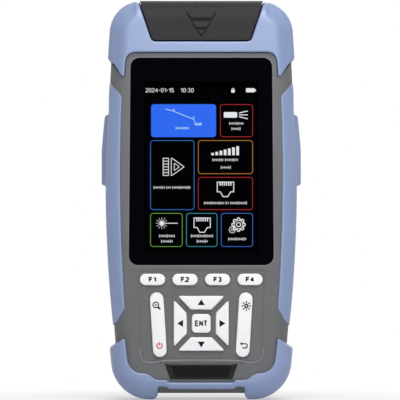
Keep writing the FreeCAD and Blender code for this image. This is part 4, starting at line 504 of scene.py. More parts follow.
# %% Tiles
PICTURE_ASIDE, ON_TILE = -0.52, 0.02
TILE_CORNER, TILE_LINE, TRACE_LINE, NOISE_LINE = 1.3, 0.3, 0.3, 0.34
tiles = {
    "trace": (-21.1, 113.1, 6.9, 127.3, "blue"),
    "light": (8.6, 113.1, 22.8, 127.3, "red"),
    "events": (-21.5, 81.7, -2.4, 111.8, "azure"),
    "power": (-0.9, 97.2, 22.8, 111.8, "orange"),
    "cable": (-0.9, 81.7, 22.8, 95.9, "red"),
    "source": (-21.5, 65.8, -7.5, 80.4, "green"),
    "socket": (-6.0, 65.8, 7.5, 80.4, "teal"),
    "settings": (9.0, 65.8, 22.8, 80.4, "deep_blue"),
}


def on_screen(name, marks, colour, lift=0.0):
    """Marks of one colour on the front of the panel, moved a little to the side with the picture."""
    marks = [mark + np.array((PICTURE_ASIDE, 0.0)) for mark in marks]
    return printed(name, marks, screen_front + lift, "instrument", "panel_glass", glows[colour])


for name, (*box, colour) in tiles.items():
    outline = rounded(box_corners(*box), TILE_CORNER)
    on_screen(name + "_tile", [filled(outline()) if name == "trace" else border(outline, TILE_LINE)], colour)

slope = [(-15.0, 125.3), (-12.0, 124.5), (-11.6, 124.3), (-11.3, 125.4), (-11.0, 124.1), (-3.0, 120.9),
         (-2.65, 122.4), (-2.4, 119.2)]
noise_x = np.linspace(-2.4, 0.8, 17)
noise = np.stack([noise_x, 118.7 + 0.9 * np.sin(noise_x * 11.7) * np.cos(noise_x * 2.3)], 1)
on_screen("falling_trace", [strip(slope, TRACE_LINE), strip(noise, NOISE_LINE)], "pale", ON_TILE)
print(len(tiles), "tiles")

# %% [markdown]
# The signs are the plainest drawing of what each tile does: a pen of light with its rays, a ladder
# of events beside a pointer, a meter's bars, a network socket, a star with its beam and two toothed
# wheels. Where such an instrument carries words, rows of small upright ticks stand for them.

# %% Signs in the tiles
TICK_TALL, TICK_PITCH, TICK_LINE, TICK_GAP, TIE_LINE = 1.35, 0.62, 0.26, 1.0, 0.2
THIN, LINE, THICK, BAR = 0.26, 0.3, 0.4, 1.15


def ticks(x, z, *words):
    """A row of upright ticks in place of words, centred on (x, z). words are the words' widths, and
    the ticks' heights repeat a fixed pattern. A thin bar through each word ties its ticks together."""
    starts = np.cumsum([0.0] + [word + TICK_GAP for word in words[:-1]])
    starts = starts - (starts[-1] + words[-1]) / 2 + x
    marks = []
    for start, word in zip(starts, words):
        count = max(2, round(word / TICK_PITCH))
        for number, at in enumerate(np.linspace(start, start + word, count)):
            half = TICK_TALL * (0.5, 0.34, 0.38, 0.34, 0.46)[number % 5]
            marks.append(strip([(at, z - half), (at, z + half)], TICK_LINE))
        marks.append(strip([(start, z), (start + word, z)], TIE_LINE))
    return marks


def from_to(pairs, width):
    """Strips between pairs of points, each pair given as x, z, x, z."""
    return lines(width, *(np.reshape(pair, (2, 2)) for pair in pairs))


# A pen of light: its barrel, and three rays that spread.
pen = [filled(rounded(box_corners(-5.2, -1.2, 0.6, 1.2), 0.5)())]
pen += from_to([(1.4, t, 5.2, 2.1 * t) for t in (-0.8, 0.0, 0.8)], THICK)
# A ladder of events between two rails, a third rail and a pointer with a small triangle in it.
ladder = from_to([(x, -3.8, x, 3.8) for x in (-4.8, -2.5, -1.3)], LINE)
ladder += from_to([(-4.8, z, -2.5, z) for z in np.linspace(-3.7, 3.7, 7)], LINE)
ladder += lines(LINE, [(-1.1, 3.8), (4.2, 0.0), (-1.1, -3.8)])
ladder += from_to([(0.0, 1.6, 0.0, -1.6), (0.0, 1.6, 2.2, 0.0), (2.2, 0.0, 0.0, -1.6)], THIN)
# A meter's seven rising bars.
meter = from_to([(1.8 * k, -1.9, 1.8 * k, 0.48 * k - 0.9) for k in range(7)], BAR)
# A star of light with its beam.
star = rays(0.7, 2.6, 12, 0.15) + [disc((0, 0), 1.0)] + from_to([(0, 0, 6.9, 0)], LINE)
# A network socket: a frame that narrows in two slants below, with a row of contacts.
right = np.array([(1, -0.3), (0.62, -0.3), (0.3, -0.88)])
socket = [strip(np.concatenate([[(-1, 0.88), (1, 0.88)], right, right[::-1] * (-1, 1)]), 0.1, loop=True)]
socket += from_to([(t, 0.86, t, 0.45) for t in np.linspace(-0.66, 0.66, 6)], 0.14)
# A toothed wheel: its radius steps between root and tip eight times a turn, round an open hub.
degrees = np.linspace(0, 360, 96, endpoint=False)
reach = 0.86 + 0.1 * np.clip(3 * np.cos(8 * np.radians(degrees)), -1, 1)
wheel = [strip(reach[:, None] * circle(degrees), 0.13, loop=True), border(ring(0.36), 0.13)]
wheels = placed(wheel, 0, 0, 3.0) + [border(ring(2.0), LINE)] + placed(wheel, -2.7, -2.2, 1.5)

on_screen("trace_name", ticks(-7.7, 117.0, 5.2), "pale", ON_TILE)
for name, sign, place, rows in (
        ("light", pen, (15.4, 122.7), [(15.6, 119.0, 5.8), (15.5, 116.7, 3.6)]),
        ("events", ladder, (-11.1, 100.3), [(-12.1, 91.4, 4.5, 1.6, 7.5)]),
        ("power", meter, (5.4, 107.2), [(10.8, 103.3, 4.4, 5.2), (11.1, 100.0, 4.0)]),
        ("cable", socket, (10.95, 90.6, 3.55), [(10.95, 84.7, 8.3, 1.0, 6.8)]),
        ("source", star, (-16.5, 76.0), [(-14.3, 70.5, 6.4), (-14.3, 68.2, 4.6)]),
        ("socket", socket, (0.9, 75.2, 3.5), [(0.8, 70.5, 9.2), (0.9, 68.2, 4.4)]),
        ("settings", wheels, (16.6, 75.4), [(16.0, 69.2, 7.4)])):
    on_screen(name + "_sign", placed(sign, *place), "white")
    on_screen(name + "_name", sum((ticks(*row) for row in rows), []), "grey")
print("Signs on", len(tiles), "tiles")

# %% [markdown]
# Letters and numbers are strips too. Each is one or two paths in a box one unit tall, made of
# straight strokes and arcs, so every line has the same width and stays crisp when it is small.
# Only plain numbers and the plain names of keys are written anywhere on the instrument.

# %% Block letters and the status line
strokes = {
    "F": [[(0, 0), (0, 1), (0.62, 1)], [(0, 0.52), (0.5, 0.52)]],
    "E": [[(0.58, 1), (0, 1), (0, 0), (0.58, 0)], [(0, 0.52), (0.5, 0.52)]],
    "N": [[(0, 0), (0, 1)], [(0, 1), (0.6, 0)], [(0.6, 0), (0.6, 1)]],
    "T": [[(0, 1), (0.64, 1)], [(0.32, 1), (0.32, 0)]],
    "0": [[*arc((0.27, 0.73), 0.27, 0, 180, 10), *arc((0.27, 0.27), 0.27, 180, 360, 10), (0.54, 0.73)]],
    "1": [[(0.06, 0.74), (0.36, 1)], [(0.36, 1), (0.36, 0)]],
    "2": [[*arc((0.29, 0.71), 0.29, 165, -40, 12), (0.0, 0.0), (0.6, 0.0)]],
    "3": [arc((0.26, 0.75), 0.25, 150, -90, 10), arc((0.27, 0.25), 0.25, 90, -150, 10)],
    "4": [[(0.46, 0), (0.46, 1)], [(0.46, 1), (0.0, 0.3)], [(0.0, 0.3), (0.66, 0.3)]],
    "5": [[(0.54, 1), (0.06, 1), (0.03, 0.56), *arc((0.27, 0.3), 0.3, 110, -150, 12)]],
    "-": [[(0.0, 0.5), (0.36, 0.5)]],
    ":": [[(0.1, 0.14), (0.1, 0.3)], [(0.1, 0.66), (0.1, 0.82)]],
}


def block_letters(word, height, centre, line, gap=0.34, wide=1.0):
    """Strips for a word in plain block letters of even strokes, set side by side and centred."""
    marks, start = [], 0.0
    for letter in word:
        paths = [np.asarray(path, float) * (wide, 1) for path in strokes[letter]]
        marks += [path + (start, 0) for path in paths]
        start += max(path[:, 0].max() for path in paths) + gap
    middle = np.array(((start - gap) / 2, 0.5))
    return [strip((path - middle) * height + centre, line) for path in marks]


FIGURE_TALL, FIGURE_LINE, STATUS_HEIGHT, LOCK_X, CELL_X = 1.6, 0.23, 133.3, 14.2, 21.9
on_screen("date_and_time", block_letters("2024-01-15", FIGURE_TALL, (-17.4, STATUS_HEIGHT), FIGURE_LINE, 0.28)
          + block_letters("10:30", FIGURE_TALL, (-5.6, STATUS_HEIGHT), FIGURE_LINE), "white")
padlock = [filled(rounded(box_corners(-0.75, -1.0, 0.75, 0.3), 0.2)()),
           strip(arc((0, 0.3), 0.5, 0, 180, 12), 0.24)]
cell = [filled(rounded(box_corners(-2.1, -0.9, 1.6, 0.9), 0.3)()),
        filled(box_corners(1.6, -0.45, 2.15, 0.45))]
on_screen("status_signs",
          placed(padlock, LOCK_X, STATUS_HEIGHT) + placed(cell, CELL_X, STATUS_HEIGHT), "white")
print("The status line stands at", STATUS_HEIGHT, "mm")

# %% [markdown]
# The rubber is moulded in one soft shot, so it has no hard edge anywhere. A copy of each rubber
# solid is merged, since a node's mesh is loose triangles, and remeshed into even squares of less
# than half a millimetre. A few rounds of smoothing then wear every edge to a small radius and leave
# the broad faces where they are. The copies stand for the solids.

# %% Soften the rubber
GRIPS, HALF_WAY, LOOSE_CORNER = ("left_grip", "right_grip"), 0.5, 1e-6


def softened(node, square, rounds):
    """A remeshed and smoothed copy of a solid: each point moves half way to the mean of its
    neighbours in every round."""
    mesh = nodes[node].data.copy()
    mesh.name = "soft_" + node
    mesh.materials.clear()
    mend(mesh, LOOSE_CORNER)
    item = piece("soft_" + node, mesh, "instrument", "rubber_blue", rubber_finish)
    remesh = item.modifiers.new("even_squares", "REMESH")
    remesh.mode, remesh.voxel_size, remesh.use_smooth_shade = "VOXEL", square * MM, True
    smooth = item.modifiers.new("worn_edges", "SMOOTH")
    smooth.factor, smooth.iterations = HALF_WAY, rounds
    graph = bpy.context.evaluated_depsgraph_get()
    final = bpy.data.meshes.new_from_object(item.evaluated_get(graph))
    item.modifiers.clear()
    item.data = final
    final.shade_smooth()
    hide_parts(node)
    print(node, "now has", len(final.polygons), "squares")
    return item


rubber = {node: softened(node, 0.42, 8) for node in ("top_bumper", "bottom_bumper")}
rubber |= {node: softened(node, 0.345, 12) for node in GRIPS}

# %% [markdown]
# Some places need more than worn edges. The rounds along the front and rear edges are flattened to
# slopes, the feet turn up in a round corner on their inner side and fall away above it, the pads on
# the grips swell out where the fingers press, and the bumper stands off from the flap. The squares
# are fine enough to be moved for that: the points are read as one array, changed by a formula and
# written back.

# %% Slopes along the edges
BUMPER_FRONT, BUMPER_ROUND, BUMPER_MOVE, GRIP_FRONT, GRIP_ROUND, GRIP_MOVE = 21.5, 8.5, 1.1, 20.7, 7.0, 0.7
SLOPE_FROM, SLOPE_FULL, CORNER_FROM = 27.5, 30, 158.5
bumper_side, bumper_corner = (41.7 - 851.5, 98.0, 851.5), (25.46, 157.9, 14.1)
grip_side = (41.3 - 560.0, 92.0, 560.0)


def reshape(item, change, *values):
    """Applies a function to all points of a piece at once, in millimetres."""
    points = np.zeros(len(item.data.vertices) * 3)
    item.data.vertices.foreach_get("co", points)
    points = change(points.reshape(-1, 3) / MM, *values)
    item.data.vertices.foreach_set("co", (points * MM).reshape(-1))
    item.data.update()
    print(item.name, "now reaches", round(np.abs(points[:, 0]).max(), 2), "mm to the side")


def smooth_step(value, start, end):
    """0 before start, 1 past end, and a smooth rise between them."""
    share = np.clip((value - start) / (end - start), 0, 1)
    return share * share * (3 - 2 * share)


def flatten_edges(points, front, edge_round, side, corner, amount):
    """The quarter round along the front and rear edges becomes a slope between two tighter bends. A
    point at an angle round that edge's axis goes towards the axis by amount times sin(2 angle)
    squared. The angle comes from the point's distances to the outline and to the front face. side
    and corner give the outline's circles as (across, height, radius)."""
    across, height = np.abs(points[:, 0]), points[:, 2]
    middle = np.where((height > CORNER_FROM)[:, None], corner, side)
    off = np.stack([across, height], 1) - middle[:, :2]
    reach = np.linalg.norm(off, axis=1)
    inset, depth = middle[:, 2] - reach, front - np.abs(points[:, 1])
    angle = np.arctan2(np.clip(edge_round - inset, 0, None), np.clip(edge_round - depth, 0, None))
    move = amount * np.sin(2 * angle) ** 2 * smooth_step(across, SLOPE_FROM, SLOPE_FULL)
    inward = np.stack([np.sign(points[:, 0]) * off[:, 0] / reach * np.sin(angle),
                       np.sign(points[:, 1]) * np.cos(angle), off[:, 1] / reach * np.sin(angle)], 1)
    return points - move[:, None] * inward


reshape(rubber["top_bumper"], flatten_edges, BUMPER_FRONT, BUMPER_ROUND, bumper_side, bumper_corner,
        BUMPER_MOVE)
for node in GRIPS:
    reshape(rubber[node], flatten_edges, GRIP_FRONT, GRIP_ROUND, grip_side, grip_side, GRIP_MOVE)

# %% [markdown]
# The next three changes work in the same way: each moves only the points of one place, and the
# move fades out round it, so that no step shows.

# %% Feet, notch and pads
FOOT_INNER, FOOT_CORNER, BAND_HIGH = 18.7, 2.6, 8.5
FLAP_FOOT, FLAP_FOOT_HALF, FLAP_SLANT, NOTCH_GROW = 154.9, 20.9, 0.335, 0.25
PAD_LOW, PAD_HIGH, PAD_FRONT, PAD_REAR = 92.2, 122.8, -0.8, 11.9


def fading(distance):
    """1 up to half a millimetre, and smoothly down to 0 two millimetres farther."""
    return smooth_step(-distance, -2.5, -0.5)


def shoulder_share(across):
    """How much of a height above the band is kept at a distance from the middle, by a table."""
    return np.interp(across, [19.6, 20.2, 21.2, 22.6, 24.5], [0.08, 0.16, 0.44, 0.78, 1.0])


def round_feet(points):
    """Points of the inner lower corner that lie beyond a quarter circle are drawn in to it. In the
    front half, heights above the band are scaled by a share that a table gives across the foot, as
    a rounded shoulder."""
    side = np.sign(points[:, 0])
    off = np.stack([side * points[:, 0] - FOOT_INNER, points[:, 2]], 1) - FOOT_CORNER
    far = np.linalg.norm(off, axis=1)
    beyond = (off < 0).all(1) & (far > FOOT_CORNER)
    scale = FOOT_CORNER / np.maximum(far, 1e-6)
    moved = np.array(points)
    moved[beyond, 0] = (side * (FOOT_INNER + FOOT_CORNER + off[:, 0] * scale))[beyond]
    moved[beyond, 2] = (FOOT_CORNER + off[:, 1] * scale)[beyond]
    above = (moved[:, 2] > BAND_HIGH) & (moved[:, 1] < 0)
    kept = shoulder_share(np.abs(moved[above, 0]))
    moved[above, 2] = BAND_HIGH + (moved[above, 2] - BAND_HIGH) * kept
    return moved


def by_edge(beyond, along):
    """The move near an edge, by the distances past it and past its end: largest at the edge, and
    fading out over two millimetres."""
    return NOTCH_GROW * smooth_step(beyond, -1, 0.2) * fading(beyond) * fading(along)


def widen_notch(points):
    """Points near the flap's slanting sides or its lower edge move away from it."""
    side, height = np.sign(points[:, 0]), points[:, 2]
    tilt = math.hypot(1, FLAP_SLANT)
    beside = (np.abs(points[:, 0]) - FLAP_FOOT_HALF - FLAP_SLANT * (height - FLAP_FOOT)) / tilt
    below = FLAP_FOOT - height
    by_side = by_edge(beside, below)
    moved = np.array(points)
    moved[:, 0] += side * by_side / tilt
    moved[:, 2] -= by_side * FLAP_SLANT / tilt + by_edge(below, beside)
    return moved


def swell_pads(points):
    """The pad moves outwards by a share that a table gives for each height, and the grip beside it
    moves in a little. Both fade out over a millimetre at the pad's edge."""
    across, depth, height = np.abs(points[:, 0]), points[:, 1], points[:, 2]
    inside = (smooth_step(height, PAD_LOW - 0.5, PAD_LOW + 0.3)
              * smooth_step(-height, -PAD_HIGH - 0.5, -PAD_HIGH + 0.3)
              * smooth_step(depth, PAD_FRONT - 0.7, PAD_FRONT)
              * smooth_step(-depth, -PAD_REAR - 0.7, -PAD_REAR))
    out = np.interp(height, [PAD_LOW, 100, 108, 116, PAD_HIGH], [0.0, 0.25, 0.5, 0.6, 0.6])
    slim = np.interp(height, [50, 70, 90, 110, 125, 133], [0.0, -0.05, 0.0, -0.3, -0.4, 0.0])
    moved = np.array(points)
    side = np.sign(points[:, 0]) * smooth_step(across, 39.2, 40.0)
    moved[:, 0] += side * (inside * out + (1 - inside) * slim)
    return moved


reshape(rubber["bottom_bumper"], round_feet)
reshape(rubber["top_bumper"], widen_notch)
for node in GRIPS:
    reshape(rubber[node], swell_pads)
print("The notch is", NOTCH_GROW, "mm wider on each side, and", len(GRIPS), "grips have their pads")

# %% [markdown]
# Three ridges on the flap point down the screen and show where to lift it. Each is a wedge that
# rises slowly from its upper edge and drops over a slope at its foot. The upper two are trapezoids
# and the last is a triangle, so the whole sign narrows like an arrow.

# %% Ridges on the flap
flap_front = front_of("dust_cover")
RIDGE_RISE, RIDGE_SUNK, RIDGE_SLOPE = 1.1, 0.3, 0.7


def wedge(top, top_half, foot, foot_half):
    """A wedge whose front rises from its upper edge to two thirds of its height and slopes back to
    its foot. Its half width changes evenly with height, and its sides slope in as far as it rises."""
    share = np.array([0.0, 0.0, 0.06, 0.2, 0.4, 0.6, 0.72, 0.8, 0.9, 1.0, 1.0])
    rise = np.array([-0.4, 0.0, 0.35, 0.6, 0.82, 0.97, 1.0, 0.93, 0.6, 0.0, -0.4]) * RIDGE_RISE
    height = top + (foot - top) * share
    half = top_half + (foot_half - top_half) * share
    inner = half - np.minimum(RIDGE_SLOPE * np.maximum(rise, 0), 0.8 * half)
    x = np.stack([-half, -half, -inner, 0 * inner, inner, half, half], 1)
    low = np.minimum(rise, 0)
    front = np.stack([low - RIDGE_SUNK, low, rise, rise, rise, low, low - RIDGE_SUNK], 1)
    return np.stack([x, -(flap_front + front), np.broadcast_to(height[:, None], x.shape)], -1)


ridge_rows = [(166.9, 6.3, 163.7, 4.7), (163.1, 4.3, 159.7, 2.5), (159.4, 2.1, 156.5, 0.1)]
shell("flap_ridges", [wedge(*row) for row in ridge_rows], "dust_cover_part", "cover_black", cover_finish)
print("The ridges rise", RIDGE_RISE, "mm")

# %% [markdown]
# The keys are moulded caps with a slightly crowned face and a rounded upper edge, on a flange that
# keeps them in the case and a post that works the switch. A cap is one stack of rings: its outline
# shrinks to the middle of the face, rounds over the edge, drops to the flange and closes on the
# posts. The crown is kept as a function, because the printed signs must follow it.

# %% Key caps
KEY_CROWN, KEY_EDGE, KEY_FLANGE, FLANGE_THICK, OVERHANG_TALL, WALL_STEP = 0.09, 0.6, 0.7, 1.0, 0.5, 0.05
POST_RADIUS, POST_EDGE, POST_SUNK, LONE_POST, PAIRED_POST = 1.4, 0.15, 0.3, 1.0, 0.7
key_face = front_of("key_enter") - WALL_STEP
levels = {}


def crown(centre, half):
    """The level of a crowned face: it falls with the square of the distance from the middle,
    measured in half widths, and is flat past the ellipse."""
    def level(x, z):
        off = ((x - centre[0]) / half[0]) ** 2 + ((z - centre[1]) / half[1]) ** 2
        return key_face + KEY_CROWN * (1 - np.clip(off, 0, 1))
    return level


def cap_rings(outline, head, level, flange_back):
    """Rings of a cap: shares of the head's outline from the middle outwards, a quarter turn over the
    edge, the narrower wall, the flange, and back to the middle behind it."""
    edge = head(KEY_EDGE)
    middle = edge.mean(0)
    rings = []
    for share in (0.0, 0.3, 0.6, 0.85, 1.0):
        flat = middle + (edge - middle) * share
        rings.append(upright(flat, level(flat[:, 0], flat[:, 1])))
    rim = level(edge[:, 0], edge[:, 1])
    tall = KEY_EDGE if head is outline else OVERHANG_TALL
    for turn in np.radians((22.5, 45, 67.5, 90)):
        rings.append(upright(head(KEY_EDGE * (1 - math.sin(turn))), rim - tall * (1 - math.cos(turn))))
    flange_front = flange_back + FLANGE_THICK
    for inset, front in ((0.0, key_face - tall - WALL_STEP), (0.0, flange_front), (-KEY_FLANGE, flange_front),
                         (-KEY_FLANGE, flange_back)):
        rings.append(upright(outline(inset), front))
    rings.append(upright(np.broadcast_to(middle, edge.shape), flange_back))
    return stacked(rings)


def post_rings(centre, front, back):
    """A round post from a flange to its switch, closed at its end."""
    round_edge = ring(POST_RADIUS, centre, 24)
    flats = [(POST_RADIUS, front), (0.0, front), (0.0, back + POST_EDGE), (POST_EDGE, back),
             (POST_RADIUS, back)]
    return stacked([upright(round_edge(inset), level) for inset, level in flats])


def key_cap(node, outline, centre, half, posts, head=None):
    """A cap with its posts, which stands for the key's solid, and the level of its crown."""
    post_end = -sizes_of(node)[1][1]
    flange_back = post_end + (LONE_POST if len(posts) == 1 else PAIRED_POST)
    levels[node] = crown(centre, half)
    shells = [cap_rings(outline, head or outline, levels[node], flange_back)]
    shells += [post_rings(post, flange_back + POST_SUNK, post_end) for post in posts]
    cap = shell(node + "_cap", shells, node + "_part", "key_white", key_finish, 40)
    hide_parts(node)


print("The keys' crowns reach", round(float(key_face) + KEY_CROWN, 2), "mm in front of the frame's middle")


# %% [markdown]
# The four soft keys below the screen are the plainest caps: fully round at both ends, each with one
# post under its middle. The middle comes from the key's solid.

# %% Soft keys
SOFT_HALF, SOFT_TALL_HALF, FULLY_ROUND = 5.5, 2.55, 1e-3
soft_keys = {}
for number in range(1, 5):
    low, high = sizes_of(f"key_f{number}")
    soft_keys[number] = centre = (low[[0, 2]] + high[[0, 2]]) / 2
    corners = trapezoid(SOFT_HALF, -SOFT_TALL_HALF, SOFT_HALF, SOFT_TALL_HALF) + centre
    key_cap(f"key_f{number}", rounded(corners, SOFT_TALL_HALF - FULLY_ROUND, 11), centre,
            (SOFT_HALF, SOFT_TALL_HALF), [centre])
print(len(soft_keys), "soft keys")

# %% [markdown]
# One arrow key is drawn above the enter key, and turning it about the pad's middle gives the other
# three. Its head is a little wider than its hole, so that the thin gaps between the keys stay even.

# %% Arrow keys and the enter key
ENTER_HALF, ENTER_ROUND, ENTER_CROWN, PAD_HEIGHT = 4.1, 1.7, 4.92, 32.9
ARROW_NEAR, ARROW_FAR, ARROW_SHIFT, ARROW_CROWN, ARROW_ROUND = 6.05, 11.75, 1.85, 3.6, 0.8
HEAD_ROUND, HEAD_GROW, HEAD_LONG, HEAD_BACK = 0.45, 0.12, 0.3, 0.35
pad = np.array((0.0, PAD_HEIGHT))
arrow_middle = pad + (0, (ARROW_NEAR + ARROW_FAR) / 2)
arrow_keys = {"key_up": 0, "key_left": 90, "key_down": 180, "key_right": 270}


def arrow_outline(degrees, back, radius, grow=0.0, long=0.0):
    """The outline of an arrow key, turned about the enter key: grown all round, lengthened sideways
    and set back from the enter key."""
    half = np.array((ARROW_NEAR, ARROW_FAR)) - ARROW_SHIFT + long
    corners = trapezoid(half[0], ARROW_NEAR - grow + back, half[1], ARROW_FAR + grow) + pad
    return rounded(turned(corners, pad, degrees), radius)


for node, degrees in arrow_keys.items():
    upward = degrees % 180 == 0
    half, back = (ARROW_FAR - ARROW_SHIFT, ARROW_CROWN), 0.0 if upward else HEAD_BACK
    centre = turned(arrow_middle, pad, degrees)
    key_cap(node, arrow_outline(degrees, back, ARROW_ROUND), centre, half if upward else half[::-1], [centre],
            arrow_outline(degrees, back, HEAD_ROUND, HEAD_GROW, HEAD_LONG))
corners = trapezoid(ENTER_HALF, -ENTER_HALF, ENTER_HALF, ENTER_HALF) + pad
key_cap("key_enter", rounded(corners, ENTER_ROUND), pad, (ENTER_CROWN, ENTER_CROWN), [pad])
print(len(arrow_keys), "arrow keys round the enter key")

# %% [markdown]
# A rocker is a long cap on two posts, one under each of its signs, and leans a little outwards.

# %% Rockers
ROCKER_HALF, ROCKER_LONG_HALF, ROCKER_X, ROCKER_Z, ROCKER_LEAN, ROCKER_POST = 3.0, 14.0, 18.5, 32.3, 3.5, 10.0
for node, side in (("left_rocker", -1), ("right_rocker", 1)):
    centre, lean = np.array((side * ROCKER_X, ROCKER_Z)), -side * ROCKER_LEAN
    corners = trapezoid(ROCKER_HALF, -ROCKER_LONG_HALF, ROCKER_HALF, ROCKER_LONG_HALF) + centre
    posts = turned([centre + (0, ROCKER_POST), centre - (0, ROCKER_POST)], centre, lean)
    key_cap(node, rounded(turned(corners, centre, lean), ROCKER_HALF - FULLY_ROUND, 11), centre,
            (ROCKER_HALF, ROCKER_LONG_HALF), list(posts))
print(len(levels), "caps")

# %% [markdown]
# The signs on the keys are printed after moulding. They lie a hair above the crown and ride with
# their key: plain numbers on the soft keys, a word for entering, four triangles, and on the rockers
# a magnifier, a power sign, a sun and a return arrow.

# %% Signs on the keys
INK_LIFT, LETTER_TALL, LETTER_LINE, WORD_TALL, WORD_LINE = 0.03, 1.7, 0.6, 2.05, 0.58
ink = finish("dark_key_ink", (0.01, 0.011, 0.016), 0.6, grain=0.2, depth=0.002, drift=0.1, patch=2,
             shine=0.05)
red_ink = finish("red_key_ink", (0.7, 0.05, 0.05), 0.6, grain=0.2, depth=0.002, patch=2, shine=0.1)


def on_key(name, marks, node, material=ink):
    """Marks on a key's crown that ride with the key."""
    level = lambda x, z: levels[node](x, z) + INK_LIFT
    return printed(name, marks, level, node + "_part", "key_white", material)


for number, centre in soft_keys.items():
    on_key(f"key_f{number}_sign", block_letters(f"F{number}", LETTER_TALL, centre, LETTER_LINE, 0.42, 1.12),
           f"key_f{number}")
on_key("key_enter_sign", block_letters("ENT", WORD_TALL, pad, WORD_LINE, 0.32, 0.95), "key_enter")
triangle = np.array([(-1.55, -1.05), (1.55, -1.05), (0.0, 1.45)])
for node, degrees in arrow_keys.items():
    on_key(node + "_sign", [filled(turned(arrow_middle + triangle, pad, degrees))], node)


# A magnifier: a lens ring with a plus in it, and a handle to the lower right.
handle = np.outer((0.36, 0.7), (math.sqrt(0.5), -math.sqrt(0.5)))
magnifier = placed([border(ring(0.38), 0.13), strip(handle, 0.2)]
                   + from_to([(-0.16, 0, 0.16, 0), (0, -0.16, 0, 0.16)], 0.08), -0.12, 0.12)
# A power mark: a ring open at the top with a bar through the opening.
power_mark = lines(0.17, arc((0, 0), 0.38, 118, 422, 40), [(0, 0.04), (0, 0.52)])
sun = [border(ring(0.25), 0.16)] + rays(0.31, 0.52, 8, 0.13)
# A return arrow: it runs right, turns back in a half circle and points left.
return_arrow = [strip([(-0.3, 0.23), *arc((0.14, -0.02), 0.25, 90, -90, 16), (-0.2, -0.27)], 0.14),
                filled([(-0.5, 0.23), (-0.22, 0.03), (-0.22, 0.43)])]
for name, sign, place, node, material in (
        ("zoom_sign", magnifier, (-19.1, 40.4, 3.8), "left_rocker", ink),
        ("power_sign_key", power_mark, (-18.0, 23.3, 3.0), "left_rocker", red_ink),
        ("brightness_sign", sun, (19.4, 40.4, 4.0), "right_rocker", ink),
        ("return_sign", return_arrow, (18.4, 23.3, 3.6), "right_rocker", ink)):
    on_key(name, placed(sign, *place), node, material)
print("Signs on the keys are printed", INK_LIFT, "mm above the crown")

# %% [markdown]
# Below the keys sits a small glossy plate, left bare. Its face is set in a sloping border that is
# wide at the sides and thin below. A second outline inset by different amounts gives that border,
# and the face closes it. The border has a lighter grey finish of its own, a painted highlight for
# the light its slopes catch, as a thin sheet on the slope.

# %% The plate's sloping border
PLATE_TOP_HALF, PLATE_LOW_HALF, PLATE_SLOPE, PLATE_DEEP, CUT_LIFT = 15.7, 13.3, 0.35, 0.6, 0.02
FACE_TOP_HALF, FACE_LOW_HALF, TOP_BORDER, LOW_BORDER = 13.2, 11.4, 0.55, 0.9
plate_front, (plate_low, plate_high) = front_of("name_plate"), sizes_of("name_plate")
low, high = plate_low[2], plate_high[2]
edge = rounded(trapezoid(PLATE_LOW_HALF, low, PLATE_TOP_HALF, high), 0.45)
face = rounded(trapezoid(FACE_LOW_HALF, low + LOW_BORDER, FACE_TOP_HALF, high - TOP_BORDER), 0.3)
face_middle = np.broadcast_to(face().mean(0), face().shape)
plate_rings = [upright(flat, plate_front + level) for flat, level in (
    (edge(-0.02), -PLATE_DEEP), (edge(0.0), -0.1), (edge(0.08), CUT_LIFT), (face(0.0), PLATE_SLOPE),
    (face(0.12), PLATE_SLOPE - 0.1), (face_middle, PLATE_SLOPE - 0.1), (face_middle, -PLATE_DEEP))]
plate_finish = finish("cut_black_plate", (0.009, 0.008, 0.009), 0.2, grain=1.2, depth=0.002, patch=4,
                      drift=0.2, shine=0.08)
# Painted highlight: the border is a lighter grey than the plate, for the light its slopes catch.
border_highlight_finish = finish("painted_highlight_border", (0.013, 0.013, 0.014), 0.25, grain=1.2, depth=0.002, shine=0.2)
shell("bare_plate", [stacked(plate_rings)], "instrument", "plate_black", plate_finish, 20)
border_rings = [upright(edge(0.02), plate_front + CUT_LIFT),
                upright(face(0.0), plate_front + PLATE_SLOPE + CUT_LIFT)]
sheet("plate_border", [stacked(border_rings)], "instrument", "plate_black", border_highlight_finish, 20)
print("The plate's border rises", PLATE_SLOPE, "mm")

# %% [markdown]
# Three thin things are a profile carried along a path: the bead that edges the key deck and steps
# up over the plate, a near-black sheet deep in the gap round the flap whose colour is painted shade,
# and a dark line of painted shadow under the band. At each point of the path the profile stands
# square to it, between the side direction and the front. The lip that holds the glass runs all
# round, so insets of one outline are enough for it. The bead and the lip are raised edges of the
# case, painted a lighter grey than the case: a painted highlight along them.

# %% Bead and lip
EDGE_HIGHLIGHT, FADE_STEPS, BEAD_RADIUS, BEAD_RISE = 1.45, 6, 0.42, 0.28
GLASS_LOW_HALF, GLASS_TOP_HALF, GLASS_CORNER, LIP_WIDE, LIP_GAP, LIP_DEEP = 31.35, 30.6, 4.1, 0.3, 0.2, 0.3


def carried(path, profile, fade=0):
    """A profile of (side, front) points carried along a path in the front plane. The side direction
    is the path's direction turned a quarter turn, and the profile shrinks at the ends over some
    points."""
    path, profile = np.asarray(path, float), np.asarray(profile, float)
    step = np.gradient(path, axis=0)
    step = step / np.linalg.norm(step, axis=1)[:, None]
    side = np.stack([-step[:, 1], step[:, 0]], 1)
    order = np.arange(len(path))
    size = np.clip((np.minimum(order, order[::-1]) + 0.05) / fade, 0, 1) if fade else np.ones(len(path))
    flat = path[:, None] + side[:, None] * profile[None, :, :1] * size[:, None, None]
    base = profile[:, 1].min()
    return upright(flat, base + (profile[:, 1] - base)[None] * size[:, None])


def eased(points, times=3):
    """A path with its corners cut: each round puts points at a quarter and three quarters of every
    step and keeps both ends."""
    points = np.asarray(points, float)
    for _ in range(times):
        near = 0.75 * points[:-1] + 0.25 * points[1:]
        far = 0.25 * points[:-1] + 0.75 * points[1:]
        points = np.concatenate([points[:1], np.stack([near, far], 1).reshape(-1, 2), points[-1:]])
    return points


def groove(half, low, high):
    """A profile of two walls and the flat between them, at a half width."""
    return [(half, low), (half, high), (-half, high), (-half, low)]
